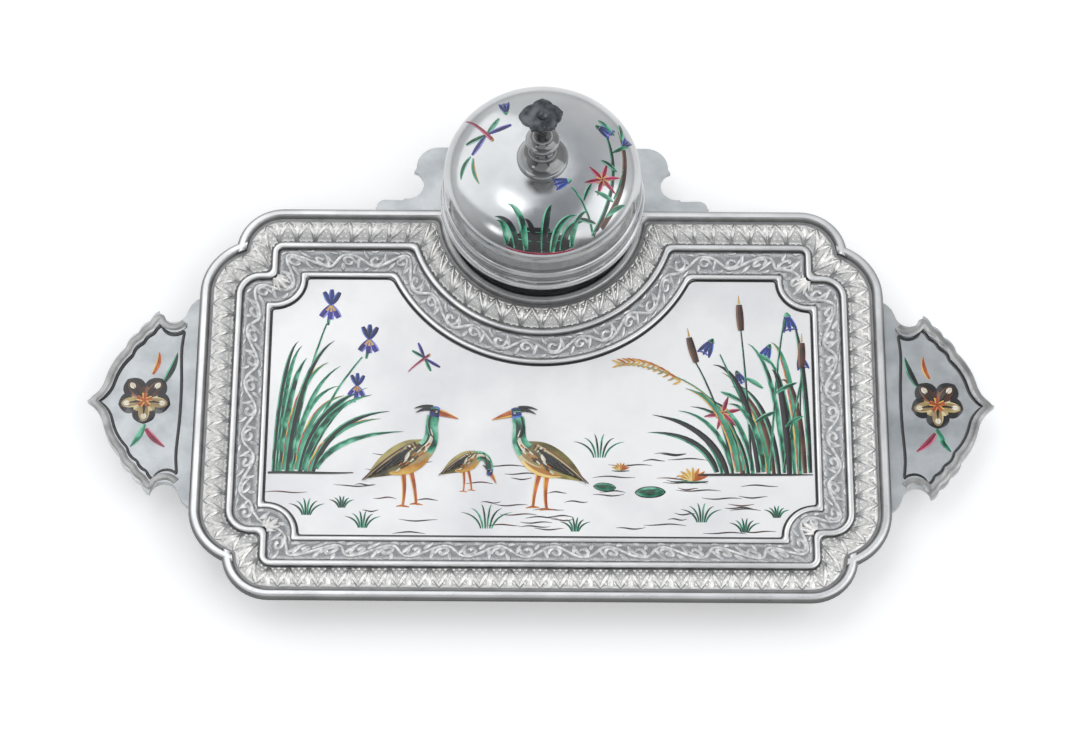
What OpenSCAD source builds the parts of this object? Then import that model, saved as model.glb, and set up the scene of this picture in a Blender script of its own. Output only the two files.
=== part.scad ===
// Desk inkstand: a cast pen tray with an enamel panel, two side handles and one
// hinged, domed inkwell standing in a round bay behind the panel.

/* [Tray] */
// Half width of the tray, from its middle to the crest of the rim bead
rim_half_w = 128.4; // [120:0.2:136]
// Half depth of the tray, from its middle to the crest of the rim bead
rim_half_d = 78.6; // [74:0.2:84]
// Height of the rim crest above the table
rim_z = 19; // [18:0.5:22]
// Distance from the rim crest in to the middle bead
mid_in = 12.9; // [12.4:0.1:13.4]
// Distance from the rim crest in to the window over the enamel panel
window_in = 24.8; // [24.4:0.1:25.2]
// Depth of the panel's face below the rim crest
panel_drop = 6.6; // [6.4:0.1:7]
// Thickness of the enamel panel
panel_t = 1.6; // [1.2:0.1:2]

/* [Corners] */
// Leg of the notch between the two lobes of a corner
notch_leg = 13.1; // [12.5:0.1:14]
// Radius of the lobe beside a long side
lobe_long_r = 16; // [15:0.5:17]
// Radius of the lobe beside a short side
lobe_short_r = 21; // [19:0.5:22]

/* [Beads] */
// Radius of the rim bead
rim_bead_r = 2; // [1.8:0.1:2.2]
// Radius of the middle bead
mid_bead_r = 1.15; // [1:0.05:1.3]
// Radius of the bead round the panel
panel_bead_r = 0.8; // [0.6:0.05:0.9]

/* [Bay and inkwell] */
// Radius of the bay, to the crest of its rim bead
bay_r = 37.7; // [37:0.1:38.5]
// Distance of the bay's centre behind the middle of the tray
bay_y = 80; // [79:0.5:81]
// Radius of the inkwell's base ring
ring_r = 39.3; // [39:0.1:40]
// Height of the base ring's middle above the rim crest
ring_h = 10.6; // [10:0.1:11]
// Radius of the ink liner's body
liner_r = 22; // [18:0.5:24]

/* [Lid] */
// Outer radius of the dome
dome_r = 37.4; // [37:0.1:37.8]
// Height above the rim crest at which the dome starts to curve in
dome_spring_h = 27.5; // [26:0.5:30]
// How square the dome's curve is, where 2 is an ellipse
dome_fullness = 2.5; // [2:0.1:3]
// Height of the dome's top above the rim crest
dome_h = 42.3; // [42:0.1:44]
// Thickness of the dome's wall
dome_t = 1.2; // [1:0.1:1.5]

/* [Finial] */
// Radius of the finial's foot
finial_foot_r = 9.7; // [9:0.1:11]
// Height of the finial from the dome's top to the flower
finial_h = 33; // [30:0.5:36]
// Radius of the flower over its petals
flower_r = 8.3; // [7:0.1:9]

/* [Handles and feet] */
// Distance of a handle's point from the middle of the tray
handle_tip_x = 171; // [165:0.5:175]
// Thickness of a handle over its raised border
handle_t = 2.8; // [2.4:0.1:3.2]
// Height of the feet
foot_h = 11; // [10:0.5:12]

/* [Hidden] */
$fn = 96;

silver = [0.78, 0.79, 0.80];
bright = [0.88, 0.89, 0.90];
dark_silver = [0.22, 0.23, 0.25];
porcelain = [0.95, 0.94, 0.91];
brass = [0.80, 0.66, 0.36];

// The tray is drawn about its own middle, and the whole stand is then moved
// so that the origin lies under the middle of its plan.
back_r = 46.5;
front_y = -(rim_half_d + rim_bead_r);
back_y = bay_y + back_r;
shift_y = -(front_y + back_y) / 2;

// Border section, from the rim crest inwards: [distance in, height from the crest]
rail_z = -4;
band_top = [
    [0.9, 1], [0.9, -1.7], [mid_in - 0.6, -3.7], [mid_in + 0.5, -3.7],
    [window_in - 1.5, -6.2], [window_in, -6.2], [window_in, -12]
];
band_under = [
    [0, 0], [0, rail_z], [5, rail_z], [mid_in - 0.6, -5.5],
    [19.5, -panel_drop], [window_in, -panel_drop]
];
panel_in = 20.5;
bay_reach = 200;

// Corner of the middle bead's notch, where the panel's hollow corners are centred
notch = [rim_half_w - notch_leg - mid_in, rim_half_d - notch_leg - mid_in];

// The tray's outline is two crossed rounded rectangles: [half width, half depth, radius]
wide = [rim_half_w, rim_half_d - notch_leg, lobe_short_r];
deep = [rim_half_w - notch_leg, rim_half_d, lobe_long_r];

// Fixings
screw_r = 0.9;
screw_head_r = 1.8;
screw_head_t = 1.2;
slot_w = 0.5;
foot_at = [rim_half_w - 26.4, rim_half_d - 14.1];
foot_stud_r = 1.5;
boss_r = 4.6;
clip_in = 16.5;
clip_t = 1;
clip_places = [
    [-60, -(rim_half_d - clip_in), 90], [60, -(rim_half_d - clip_in), 90],
    [-(rim_half_w - clip_in), 0, 0], [rim_half_w - clip_in, 0, 180],
    [-80, rim_half_d - clip_in, -90], [80, rim_half_d - clip_in, -90]
];
handle_screw_places = [[rim_half_w - 0.8, -20], [rim_half_w - 0.8, 20]];
bracket_screw_places = [
    for (s = [-1, 1]) [s * 58, rim_half_d - 0.8],
    for (a = [-60, -120]) [(bay_r + 0.8) * cos(a), bay_y + (bay_r + 0.8) * sin(a)]
];
bracket_t = 2.2;

// Inkwell heights above the rim crest
cup_r = 35;
spigot_r = 33;
cup_floor = -10;
cup_top = 12.7;
ledge_h = 11;
upstand_h = 15;
lid_h = 13;
dome_seat_h = 23;
hinge_h = 14.2;
hinge_out = 41.6;
knuckle_r = 2;
pin_r = 0.9;
pin_fit = 0.05;
flange_t = 2;

function arc(c, r, a0, a1, n = 8) =
    [for (i = [0:n]) let (a = a0 + (a1 - a0) * i / n) [c.x + r * cos(a), c.y + r * sin(a)]];
function bow(p, q, rise, n) = [for (i = [1:n]) let (t = i / n, d = q - p)
    p + t * d + 4 * t * (1 - t) * rise / norm(d) * [-d.y, d.x]];
function flip_x(points) = [for (i = [len(points) - 1:-1:0]) [-points[i].x, points[i].y]];
function flip_y(points) = [for (i = [len(points) - 1:-1:0]) [points[i].x, -points[i].y]];

module at_tray() { translate([0, shift_y, rim_z]) children(); }
module at_bay() { at_tray() translate([0, bay_y, 0]) children(); }
module four_corners() {
    for (sx = [0, 1], sy = [0, 1]) mirror([sx, 0, 0]) mirror([0, sy, 0]) children();
}

// ---- Tray border ----

// Rounded rectangle drawn in by a distance
module plan(rect, inset = 0) {
    w = rect.x - inset;
    d = rect.y - inset;
    r = max(rect.z - inset, 0.01);
    square([2 * (w - r), 2 * d], center = true);
    square([2 * w, 2 * (d - r)], center = true);
    for (sx = [-1, 1], sy = [-1, 1]) translate([sx * (w - r), sy * (d - r)]) circle(r);
}

// Bar of the given length along Y, whose sides fall inwards by a section
module trough(half_w, section, length) {
    side = [for (p = section) [half_w - p.x, p.y]];
    rotate([90, 0, 0]) translate([0, 0, -length / 2]) linear_extrude(length)
        polygon(concat(side, flip_x(side)));
}

// Solid above a section that falls inwards from a rounded rectangle
module sunk(rect, section) {
    straight_w = rect.x - rect.z;
    straight_d = rect.y - rect.z;
    intersection() {
        trough(rect.x, section, 2 * straight_d);
        rotate([0, 0, 90]) trough(rect.y, section, 2 * rect.x);
    }
    intersection() {
        rotate([0, 0, 90]) trough(rect.y, section, 2 * straight_w);
        trough(rect.x, section, 2 * rect.y);
    }
    four_corners() translate([straight_w, straight_d, 0]) rotate_extrude()
        intersection() {
            polygon(concat([[0, section[0].y]], [for (p = section) [rect.z - p.x, p.y]],
                [[0, section[len(section) - 1].y]]));
            translate([0, -30]) square([60, 60]);
        }
}

// Round bead that follows a rounded rectangle at a distance in
module bead(rect, inset, r, z) {
    w = rect.x - inset;
    d = rect.y - inset;
    bend = rect.z - inset;
    for (s = [-1, 1]) {
        translate([s * w, rect.y - rect.z, z]) rotate([90, 0, 0]) cylinder(r = r, h = 2 * (rect.y - rect.z));
        translate([-(rect.x - rect.z), s * d, z]) rotate([0, 90, 0])
            cylinder(r = r, h = 2 * (rect.x - rect.z));
    }
    if (bend > r) four_corners() translate([rect.x - rect.z, rect.y - rect.z, z])
        rotate_extrude(angle = 90) translate([bend, 0]) circle(r);
    else four_corners() translate([w, d, z]) sphere(r);
}

// The bead on both rectangles, without the lengths that lie inside the other one
module crossed_bead(inset, r, z) {
    difference() {
        union() {
            difference() {
                bead(wide, inset, r, z);
                translate([0, 0, z - 5]) linear_extrude(10) plan(deep, inset + r);
            }
            difference() {
                bead(deep, inset, r, z);
                translate([0, 0, z - 5]) linear_extrude(10) plan(wide, inset + r);
            }
        }
        translate([0, bay_y, z - 5]) cylinder(r = bay_r + inset, h = 10);
    }
    intersection() {
        translate([0, bay_y, z]) rotate_extrude() translate([bay_r + inset, 0]) circle(r);
        translate([-80, -rim_half_d, z - 5]) cube([160, 2 * rim_half_d - inset, 10]);
    }
}

module corner_quadrant(reach) {
    translate([notch.x - reach, notch.y - reach, -14]) cube([reach, reach, 16]);
}

// Space above a section that falls away from the bay
module round_bay(section) {
    translate([0, bay_y, 0]) rotate_extrude() translate([bay_r, 0])
        polygon(concat(section, [[bay_reach, section[len(section) - 1].y], [bay_reach, section[0].y]]));
}

module border_shell() {
    difference() {
        intersection() {
            union() { sunk(wide, band_under); sunk(deep, band_under); }
            round_bay(band_under);
        }
        intersection() {
            union() { sunk(wide, band_top); sunk(deep, band_top); }
            round_bay(band_top);
        }
        // Hollow corners of the window
        four_corners() intersection() {
            translate([notch.x, notch.y, 0]) rotate_extrude() difference() {
                translate([0.5, -12]) square([18, 12]);
                translate([-mid_in, 0]) polygon(concat([[mid_in, -12]],
                    [for (i = [3:5]) band_top[i]], [[window_in, -12]]));
            }
            corner_quadrant(17.5);
        }
    }
    four_corners() intersection() {
        translate([notch.x, notch.y, 0]) rotate_extrude() translate([-mid_in, 0])
            polygon([
                [mid_in, -3.7], band_top[3], band_top[4], band_top[5],
                [window_in, -panel_drop], [19.5, -panel_drop], [mid_in, -5.6]
            ]);
        corner_quadrant(12.5);
    }
}

// Bead round the window, with its hollow corners
module window_bead() {
    inset = window_in - panel_bead_r;
    z = -panel_drop + 0.1;
    difference() {
        crossed_bead(inset, panel_bead_r, z);
        four_corners() corner_quadrant(14);
    }
    four_corners() translate([notch.x, notch.y, z]) rotate([0, 0, 180]) rotate_extrude(angle = 90)
        translate([inset - mid_in, 0]) circle(panel_bead_r);
}

module tray_border() {
    color(silver) at_tray() difference() {
        union() {
            border_shell();
            crossed_bead(0, rim_bead_r, -rim_bead_r);
            crossed_bead(mid_in, mid_bead_r, -2.3 - mid_bead_r);
            difference() {
                window_bead();
                translate([-150, -100, -20]) cube([300, 200, 20 - panel_drop]);
            }
            for (sx = [-1, 1], sy = [-1, 1]) translate([sx * foot_at.x, sy * foot_at.y, foot_h - rim_z])
                cylinder(r = boss_r, h = rim_z - foot_h - 5.2);
            for (p = clip_places) translate([p.x, p.y, -panel_drop - panel_t])
                cylinder(r = 3.2, h = 3);
        }
        for (sx = [-1, 1], sy = [-1, 1]) translate([sx * foot_at.x, sy * foot_at.y, foot_h - rim_z - 1])
            cylinder(r = foot_stud_r, h = 4);
        for (p = clip_places) translate([p.x, p.y, -panel_drop - panel_t - 1]) cylinder(r = screw_r, h = 3.4);
        for (s = [-1, 1], p = handle_screw_places) translate([s * p.x, p.y, rail_z - 1])
            cylinder(r = screw_r, h = 2.8);
        for (p = bracket_screw_places) translate([p.x, p.y, rail_z - 1]) cylinder(r = screw_r, h = 2.8);
    }
}

module panel_plan() {
    edge = [rim_half_w - panel_in, rim_half_d - panel_in];
    hollow_r = panel_in - mid_in;
    difference() {
        square(2 * edge, center = true);
        for (sx = [0, 1], sy = [0, 1]) mirror([sx, 0]) mirror([0, sy]) {
            translate([notch.x - hollow_r, notch.y]) square(20);
            translate([notch.x, notch.y - hollow_r]) square(20);
            translate(notch) circle(hollow_r);
        }
        translate([0, bay_y]) circle(bay_r + panel_in);
    }
}

module enamel_panel() {
    color(bright) at_tray() translate([0, 0, -panel_drop - panel_t]) linear_extrude(panel_t) panel_plan();
}

// ---- Fixings ----

// Slotted screw whose head lies below the origin and whose shank stands up
module screw(shank, r = screw_r, head = screw_head_r) {
    cylinder(r = r - 0.03, h = shank);
    difference() {
        translate([0, 0, -screw_head_t]) cylinder(r = head, h = screw_head_t);
        translate([-head - 1, -slot_w / 2, -screw_head_t - 0.4]) cube([2 * head + 2, slot_w, 1]);
    }
}

module panel_clips() {
    z = -panel_drop - panel_t;
    color(brass) at_tray() for (p = clip_places) translate([p.x, p.y, z - clip_t]) rotate([0, 0, p.z])
        difference() {
            union() {
                cylinder(r = 3.5, h = clip_t);
                translate([0, -3.5, 0]) cube([9, 7, clip_t]);
            }
            translate([0, 0, -1]) cylinder(r = screw_r + 0.1, h = 3);
        }
}

module clip_screws() {
    z = -panel_drop - panel_t - clip_t;
    color(brass) at_tray() for (p = clip_places) translate([p.x, p.y, z]) screw(clip_t + 2.2);
}

module handle_screws() {
    color(brass) at_tray() for (s = [-1, 1], p = handle_screw_places)
        translate([s * p.x, p.y, rail_z - handle_t]) screw(handle_t + 1.6);
}

module bracket_screws() {
    color(brass) at_tray() for (p = bracket_screw_places)
        translate([p.x, p.y, rail_z - bracket_t]) screw(bracket_t + 1.6);
}

module foot(sx, sy) {
    color(silver) at_tray() translate([sx * foot_at.x, sy * foot_at.y, -rim_z]) {
        rotate_extrude() difference() {
            union() {
                square([3.6, foot_h]);
                translate([0, foot_h - 1.4]) square([4.6, 1.4]);
                translate([3.2, 4.4]) circle(4.2);
                square([5, 2]);
                translate([0, 2]) square([3.5, 5]);
            }
            translate([5.6, 9.2]) circle(1.4);
            translate([-20, -20]) square([20, 50]);
            translate([-1, -10]) square([20, 10]);
        }
        translate([0, 0, foot_h]) cylinder(r = foot_stud_r - 0.03, h = 2.6);
    }
}

// ---- Handles ----

handle_root_x = 134.2;
// Half of a handle's edge, from the rim over its scroll to its point
handle_half = concat(
    [[123.6, 36], [129.8, 43.6]],
    bow([129.8, 43.6], [134.9, 37.6], 0.9, 3),
    arc([140.3, 38.5], 5.45, 190, 352, 12),
    bow([145.7, 38.1], [149, 33.6], 0.5, 3),
    bow([149, 33.6], [153.2, 28.8], 0.8, 3),
    bow([153.2, 28.8], [157.7, 22.4], 1, 4),
    bow([157.7, 22.4], [164.6, 9.6], 1, 5),
    bow([164.6, 9.6], [handle_tip_x, 0], -1.2, 5)
);

module handle_plan(kx = 1, ky = 1) {
    half = [for (p = handle_half) if (p.y > 0.01 && (kx == 1 || p.x > handle_root_x))
        [handle_root_x + (p.x - handle_root_x) * kx, p.y * ky]];
    tip = [handle_root_x + (handle_tip_x - handle_root_x) * kx, 0];
    polygon(concat(half, [tip], flip_y(half)));
}

module handle(side) {
    field_z = rail_z - 0.8;
    color(silver) at_tray() mirror([side < 0 ? 1 : 0, 0, 0]) difference() {
        translate([0, 0, rail_z - handle_t]) linear_extrude(handle_t) handle_plan();
        translate([0, 0, field_z]) linear_extrude(3) handle_plan(0.9, 0.87);
        for (p = handle_screw_places) translate([p.x, p.y, rail_z - 5]) cylinder(r = screw_r + 0.1, h = 8);
    }
}

module left_handle() { handle(-1); }
module right_handle() { handle(1); }

// ---- Back bracket ----

// Half of the bracket's edge behind the tray, from the rail to the back of the bay
ear_half = concat(
    [[0, 74], [62, 74], [64.4, 80], [64.6, 83.2]],
    arc([60.8, 83], 3.4, 0, 90, 4),
    [[54, 86.2]],
    arc([52.3, 93.2], 6.3, 280, 128, 10),
    [[49.9, 98.8]],
    arc([40.4, 101], 8.6, 356, 450, 8)
);

module back_bracket() {
    color(silver) at_tray() translate([0, 0, rail_z - bracket_t]) difference() {
        linear_extrude(bracket_t) difference() {
            union() {
                polygon(concat(ear_half, flip_x(ear_half)));
                intersection() {
                    translate([0, bay_y]) circle(back_r);
                    translate([-60, 82]) square([120, 60]);
                }
                translate([0, bay_y]) circle(42.5);
            }
            translate([0, bay_y]) circle(spigot_r + 0.1);
        }
        for (p = bracket_screw_places) translate([p.x, p.y, -1]) cylinder(r = screw_r + 0.1, h = 5);
    }
}

// ---- Inkwell ----

module inkwell_body() {
    color(bright) at_bay() difference() {
        rotate_extrude() difference() {
            union() {
                translate([0, cup_floor]) square([spigot_r, cup_top - cup_floor]);
                translate([0, rail_z]) square([cup_r, 12]);
                translate([0, 6]) square([cup_r + 2.6, cup_top - 6]);
                translate([ring_r - 1.6, ring_h]) circle(1.6);
                translate([0, cup_top - 1]) square([34.2, upstand_h - cup_top + 1]);
            }
            translate([cup_r + 5.4, 5]) circle(4.6);
            translate([0, cup_floor + 1.2]) square([31.5, 40]);
            translate([0, ledge_h]) square([33.2, 40]);
        }
        // Flat seat for the hinge
        translate([-9, 36.9, 8.6]) cube([18, 10, 10]);
    }
}

module inkwell_ring_nut() {
    z = rail_z - bracket_t;
    color(brass) at_bay() difference() {
        translate([0, 0, z - 2.4]) cylinder(r = 36.2, h = 2.4);
        translate([0, 0, z - 3]) cylinder(r = spigot_r + 0.05, h = 4);
        for (a = [0:60:300]) rotate([0, 0, a + 30]) translate([34.8, -1.5, z - 3]) cube([4, 3, 4]);
    }
}

module well_plate() {
    color(bright) at_bay() rotate_extrude() difference() {
        union() {
            translate([liner_r + 0.3, ledge_h]) square([33.1 - liner_r - 0.3, 1.2]);
            translate([31.8, ledge_h + 1.2]) circle(0.8);
            translate([28.6, ledge_h + 1.2]) circle(0.5);
        }
        translate([0, ledge_h - 3]) square([60, 3]);
    }
}

module ink_liner() {
    z = ledge_h + 1.2;
    color(porcelain) at_bay() rotate_extrude() difference() {
        union() {
            translate([0, cup_floor + 2]) square([liner_r, z - cup_floor - 2]);
            translate([0, z]) square([liner_r + 3, flange_t]);
            translate([liner_r + 3, z + flange_t / 2]) circle(flange_t / 2);
        }
        hull() {
            translate([0, cup_floor + 4.4]) square([1, 20]);
            translate([liner_r - 7.6, cup_floor + 9.4]) circle(5);
            translate([0, z + 10]) square([liner_r - 2.6, 1]);
        }
        translate([-30, -30]) square([30, 90]);
    }
}

// ---- Hinge ----

module knuckle(x0, x1) {
    translate([x0, hinge_out, hinge_h]) rotate([0, 90, 0]) difference() {
        cylinder(r = knuckle_r, h = x1 - x0);
        translate([0, 0, -1]) cylinder(r = pin_r + pin_fit, h = x1 - x0 + 2);
    }
}

module pin_bore() {
    translate([-20, hinge_out, hinge_h]) rotate([0, 90, 0]) cylinder(r = pin_r + pin_fit, h = 40);
}

module hinge_base_leaf() {
    color(silver) at_bay() difference() {
        union() {
            translate([-9, 36.9, 8.6]) cube([18, 1.6, 3.8]);
            for (s = [-1, 1]) {
                translate([s * 5.8 - 2.6, 36.9, 9.2]) cube([5.2, hinge_out - 36.9 + knuckle_r, 3]);
                translate([s * 5.8 - 2.6, hinge_out - knuckle_r, 9.2]) cube([5.2, 2 * knuckle_r, hinge_h - 9.2]);
                knuckle(s * 5.8 - 2.6, s * 5.8 + 2.6);
            }
        }
        pin_bore();
    }
}

module hinge_lid_leaf() {
    color(silver) at_bay() difference() {
        union() {
            translate([-2.9, 36.9, lid_h + 0.1]) cube([5.8, hinge_out - 36.9, 3.1]);
            translate([-7, 36.9, lid_h + 0.1]) cube([14, 0.9, 3.1]);
            knuckle(-2.9, 2.9);
        }
        pin_bore();
    }
}

module hinge_pin() {
    color(brass) at_bay() translate([-9, hinge_out, hinge_h]) rotate([0, 90, 0]) {
        cylinder(r = pin_r, h = 18);
        translate([0, 0, -0.6]) cylinder(r = 1.4, h = 0.6);
        translate([0, 0, 18]) cylinder(r = 1.4, h = 0.6);
    }
}

// ---- Lid ----

module lid_bezel() {
    color(bright) at_bay() difference() {
        rotate_extrude() difference() {
            union() {
                translate([34.8, lid_h]) square([2.4, dome_seat_h - lid_h]);
                translate([36.6, 18.5]) circle(1.7);
                translate([34.8, dome_seat_h - 1]) square([1.3, 4]);
            }
            translate([0, lid_h]) square([34.8, 20]);
        }
        translate([-7, 36.9, lid_h - 1]) cube([14, 5, 4.2]);
        translate([-9, 38.1, lid_h - 1]) cube([18, 5, 4.2]);
    }
}

// Edge of the dome from its top to its foot, drawn in by a wall thickness
dome_steps = 22;
function dome_edge(t) = let (rise = dome_h - t - dome_spring_h) concat(
    [for (i = [0:dome_steps]) let (a = 90 - 90 * i / dome_steps) [
        (dome_r - t) * pow(cos(a), 2 / dome_fullness),
        dome_spring_h + rise * pow(sin(a), 2 / dome_fullness)
    ]],
    [[dome_r - t, dome_seat_h]]
);
function flip_order(points) = [for (i = [len(points) - 1:-1:0]) points[i]];

module lid_dome() {
    color(bright) at_bay() difference() {
        rotate_extrude() polygon(concat(dome_edge(0), flip_order(dome_edge(dome_t))));
        translate([0, 0, dome_h - 5]) cylinder(r = 1.6, h = 8);
    }
}

// ---- Finial ----

// Baluster's edge above the dome's top: foot, lower bell, neck, ring, upper bell,
// waist and head
neck_z = 7.4;
ring_z = 13.7;
waist_z = 18.4;
head_z = finial_h - 3;
stem_edge = concat(
    [[0, -1.2], [finial_foot_r - 0.9, -1.2]],
    arc([finial_foot_r - 0.9, 0.4], 0.9, -90, 90, 6),
    [[8.3, 1.5]],
    bow([8.3, 1.5], [3.6, neck_z], 1.2, 8),
    bow([3.6, neck_z], [5.5, ring_z - 0.8], 0.8, 6),
    arc([5.6, ring_z], 0.8, -90, 90, 6),
    bow([5.4, ring_z + 0.8], [3, waist_z], 0.9, 6),
    bow([3, waist_z], [5.4, head_z - 1], 0.7, 6),
    [[5.4, head_z], [3.1, head_z + 1.1], [0, head_z + 1.1]]
);

module finial_stem() {
    color(bright) at_bay() difference() {
        translate([0, 0, dome_h]) {
            rotate_extrude() polygon(stem_edge);
            translate([0, 0, -6.4]) cylinder(r = 1.4, h = 8);
            translate([0, 0, finial_h - 3]) cylinder(r = 1.1, h = 3.6);
        }
        // The foot fits the dome's curve
        difference() {
            rotate_extrude() polygon(concat(dome_edge(0), [[0, dome_seat_h]]));
            translate([0, 0, dome_h - 8]) cylinder(r = 1.41, h = 10);
        }
    }
}

// Petals of the flower: [direction, share of the full reach]
petals = [[92, 0.97], [17, 0.95], [-46, 0.82], [234, 0.86], [173, 1.08]];

module petal(reach) {
    translate([reach * 0.42, 0]) circle(reach * 0.5);
    intersection() {
        translate([reach * 0.42, 2]) circle(reach * 0.62);
        translate([reach * 0.42, -2]) circle(reach * 0.62);
    }
}

module finial_flower() {
    bowl_r = 15;
    color(dark_silver) at_bay() translate([0, 0, dome_h + finial_h]) difference() {
        intersection() {
            translate([0, 0, -6]) linear_extrude(9) {
                circle(3.6);
                for (p = petals) rotate(p.x) petal(flower_r * p.y);
            }
            translate([0, 0, -bowl_r]) difference() {
                sphere(bowl_r, $fn = 120);
                translate([0, 0, -1.1]) sphere(bowl_r - 0.4, $fn = 120);
            }
        }
        translate([0, 0, -4]) cylinder(r = 1.15, h = 8);
    }
}

module finial_button() {
    color(dark_silver) at_bay() translate([0, 0, dome_h + finial_h]) difference() {
        intersection() {
            translate([0, 0, -1.6]) sphere(2.8);
            cylinder(r = 2.3, h = 3);
        }
        translate([0, 0, -1]) cylinder(r = 1.12, h = 1.65);
    }
}

module finial_washer() {
    color(brass) at_bay() translate([0, 0, dome_h - dome_t - 1.15]) difference() {
        cylinder(r = 4.2, h = 1);
        translate([0, 0, -1]) cylinder(r = 1.5, h = 4);
    }
}

module finial_nut() {
    color(brass) at_bay() translate([0, 0, dome_h - dome_t - 3.6]) difference() {
        cylinder(r = 3.2, h = 2.4, $fn = 6);
        translate([0, 0, -1]) cylinder(r = 1.43, h = 5);
    }
}

module foot_front_left() { foot(-1, -1); }
module foot_front_right() { foot(1, -1); }
module foot_back_left() { foot(-1, 1); }
module foot_back_right() { foot(1, 1); }

tray_border();
enamel_panel();
panel_clips();
clip_screws();
left_handle();
right_handle();
handle_screws();
back_bracket();
bracket_screws();
foot_front_left();
foot_front_right();
foot_back_left();
foot_back_right();
inkwell_body();
inkwell_ring_nut();
well_plate();
ink_liner();
hinge_base_leaf();
hinge_lid_leaf();
hinge_pin();
lid_bezel();
lid_dome();
finial_stem();
finial_flower();
finial_button();
finial_washer();
finial_nut();
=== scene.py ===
import bpy
import math
import random
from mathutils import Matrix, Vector


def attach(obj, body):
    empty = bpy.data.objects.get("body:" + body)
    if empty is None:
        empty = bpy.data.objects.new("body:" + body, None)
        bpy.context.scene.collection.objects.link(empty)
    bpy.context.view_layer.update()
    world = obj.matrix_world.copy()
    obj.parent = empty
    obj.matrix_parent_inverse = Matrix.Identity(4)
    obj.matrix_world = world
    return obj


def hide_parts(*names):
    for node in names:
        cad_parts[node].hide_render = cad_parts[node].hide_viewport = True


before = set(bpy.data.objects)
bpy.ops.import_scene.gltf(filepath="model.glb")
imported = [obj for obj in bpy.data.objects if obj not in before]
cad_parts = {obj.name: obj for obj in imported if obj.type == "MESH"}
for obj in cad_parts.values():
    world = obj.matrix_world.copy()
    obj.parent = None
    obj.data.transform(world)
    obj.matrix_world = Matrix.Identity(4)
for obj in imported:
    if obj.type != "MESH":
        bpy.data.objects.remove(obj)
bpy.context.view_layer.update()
bpy.ops.object.select_all(action="DESELECT")
mm = 0.001

# The tray is drawn in millimetres about its own middle, heights from the rim crest.
tray = {"shiftY": -22.95, "crestZ": 19.0, "bayY": 80.0, "bayR": 37.7, "panelZ": -6.6}


def place(x, y, z):
    return Vector((x * mm, (y + tray["shiftY"]) * mm, (z + tray["crestZ"]) * mm))


# Camera
view = {"target": (-0.000413, -0.011165, 0.019), "distance": 1.244713, "height": 65.0,
        "roll": 0.366, "lens": 109.953, "sensor": 36, "clip": (0.05, 20)}
tilt, roll = math.radians(view["height"]), math.radians(view["roll"])
backward = Vector((0, -math.cos(tilt), math.sin(tilt)))
level = Vector((1, 0, 0))
upward = backward.cross(level)
bpy.ops.object.camera_add(location=Vector(view["target"]) + backward * view["distance"])
camera = bpy.context.object
turn = camera.matrix_world.to_3x3()
turn.col[0] = math.cos(roll) * level + math.sin(roll) * upward
turn.col[1] = -math.sin(roll) * level + math.cos(roll) * upward
turn.col[2] = backward
camera.rotation_euler = turn.to_euler()
camera.data.lens = view["lens"]
camera.data.sensor_width = view["sensor"]
camera.data.clip_start, camera.data.clip_end = view["clip"]
bpy.context.scene.camera = camera
print("camera set")


# Finishes
def newFinish(name, metallic, rough, coat=0.0):
    material = bpy.data.materials.new(name)
    material.use_nodes = True
    shader = material.node_tree.nodes["Principled BSDF"]
    shader.inputs["Metallic"].default_value = metallic
    shader.inputs["Roughness"].default_value = rough
    shader.inputs["Coat Weight"].default_value = coat
    shader.inputs["Coat Roughness"].default_value = 0.06
    return material, material.node_tree, shader


def addNode(tree, kind, inputs, **settings):
    # Each input is a plain value or the output of another node
    made = tree.nodes.new("ShaderNode" + kind)
    for key, value in settings.items():
        setattr(made, key, value)
    for key, value in inputs.items():
        if isinstance(value, bpy.types.NodeSocket):
            tree.links.new(value, made.inputs[key])
        else:
            made.inputs[key].default_value = value
    return made


def texturePlace(tree):
    return addNode(tree, "TexCoord", {}).outputs["Object"]


def oneAxis(tree, vector, letter):
    return addNode(tree, "SeparateXYZ", {"Vector": vector}).outputs[letter]


def noise(tree, scale, detail=3.0):
    return addNode(tree, "TexNoise", {"Vector": texturePlace(tree), "Scale": scale,
                                      "Detail": detail}).outputs["Fac"]


def ramp(tree, factor, stops):
    made = addNode(tree, "ValToRGB", {"Fac": factor})
    edges = made.color_ramp.elements
    while len(edges) < len(stops):
        edges.new(0.5)
    for edge, (spot, color) in zip(edges, stops):
        edge.position = spot
        edge.color = (*color, 1)
    return made.outputs["Color"]


def rescaled(tree, value, fromLow, fromHigh, low, high):
    return addNode(tree, "MapRange", {"Value": value, "From Min": fromLow, "From Max": fromHigh,
                                      "To Min": low, "To Max": high}).outputs["Result"]


def spread(tree, factor, low, high):
    # A noise keeps to the middle half of its range, so that half is stretched
    return rescaled(tree, factor, 0.25, 0.75, low, high)


def combined(tree, way, one, other):
    return addNode(tree, "Math", {0: one, 1: other}, operation=way).outputs["Value"]


def multiplied(tree, one, other, share=1):
    return addNode(tree, "Mix", {"A": one, "B": other, "Factor": share},
                   data_type="RGBA", blend_type="MULTIPLY").outputs["Result"]


def clouded(tree, blotch, dark, light):
    return ramp(tree, noise(tree, blotch, 4), [(0.3, dark), (0.62, light)])


def roughen(tree, shader, height, strength, distance):
    bump = addNode(tree, "Bump", {"Height": height, "Strength": strength, "Distance": distance})
    tree.links.new(bump.outputs["Normal"], shader.inputs["Normal"])


def brush(tree, shader, rough, grain, bump):
    fine = noise(tree, grain)
    tree.links.new(spread(tree, fine, *rough), shader.inputs["Roughness"])
    roughen(tree, shader, fine, bump, 0.00008)


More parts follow.
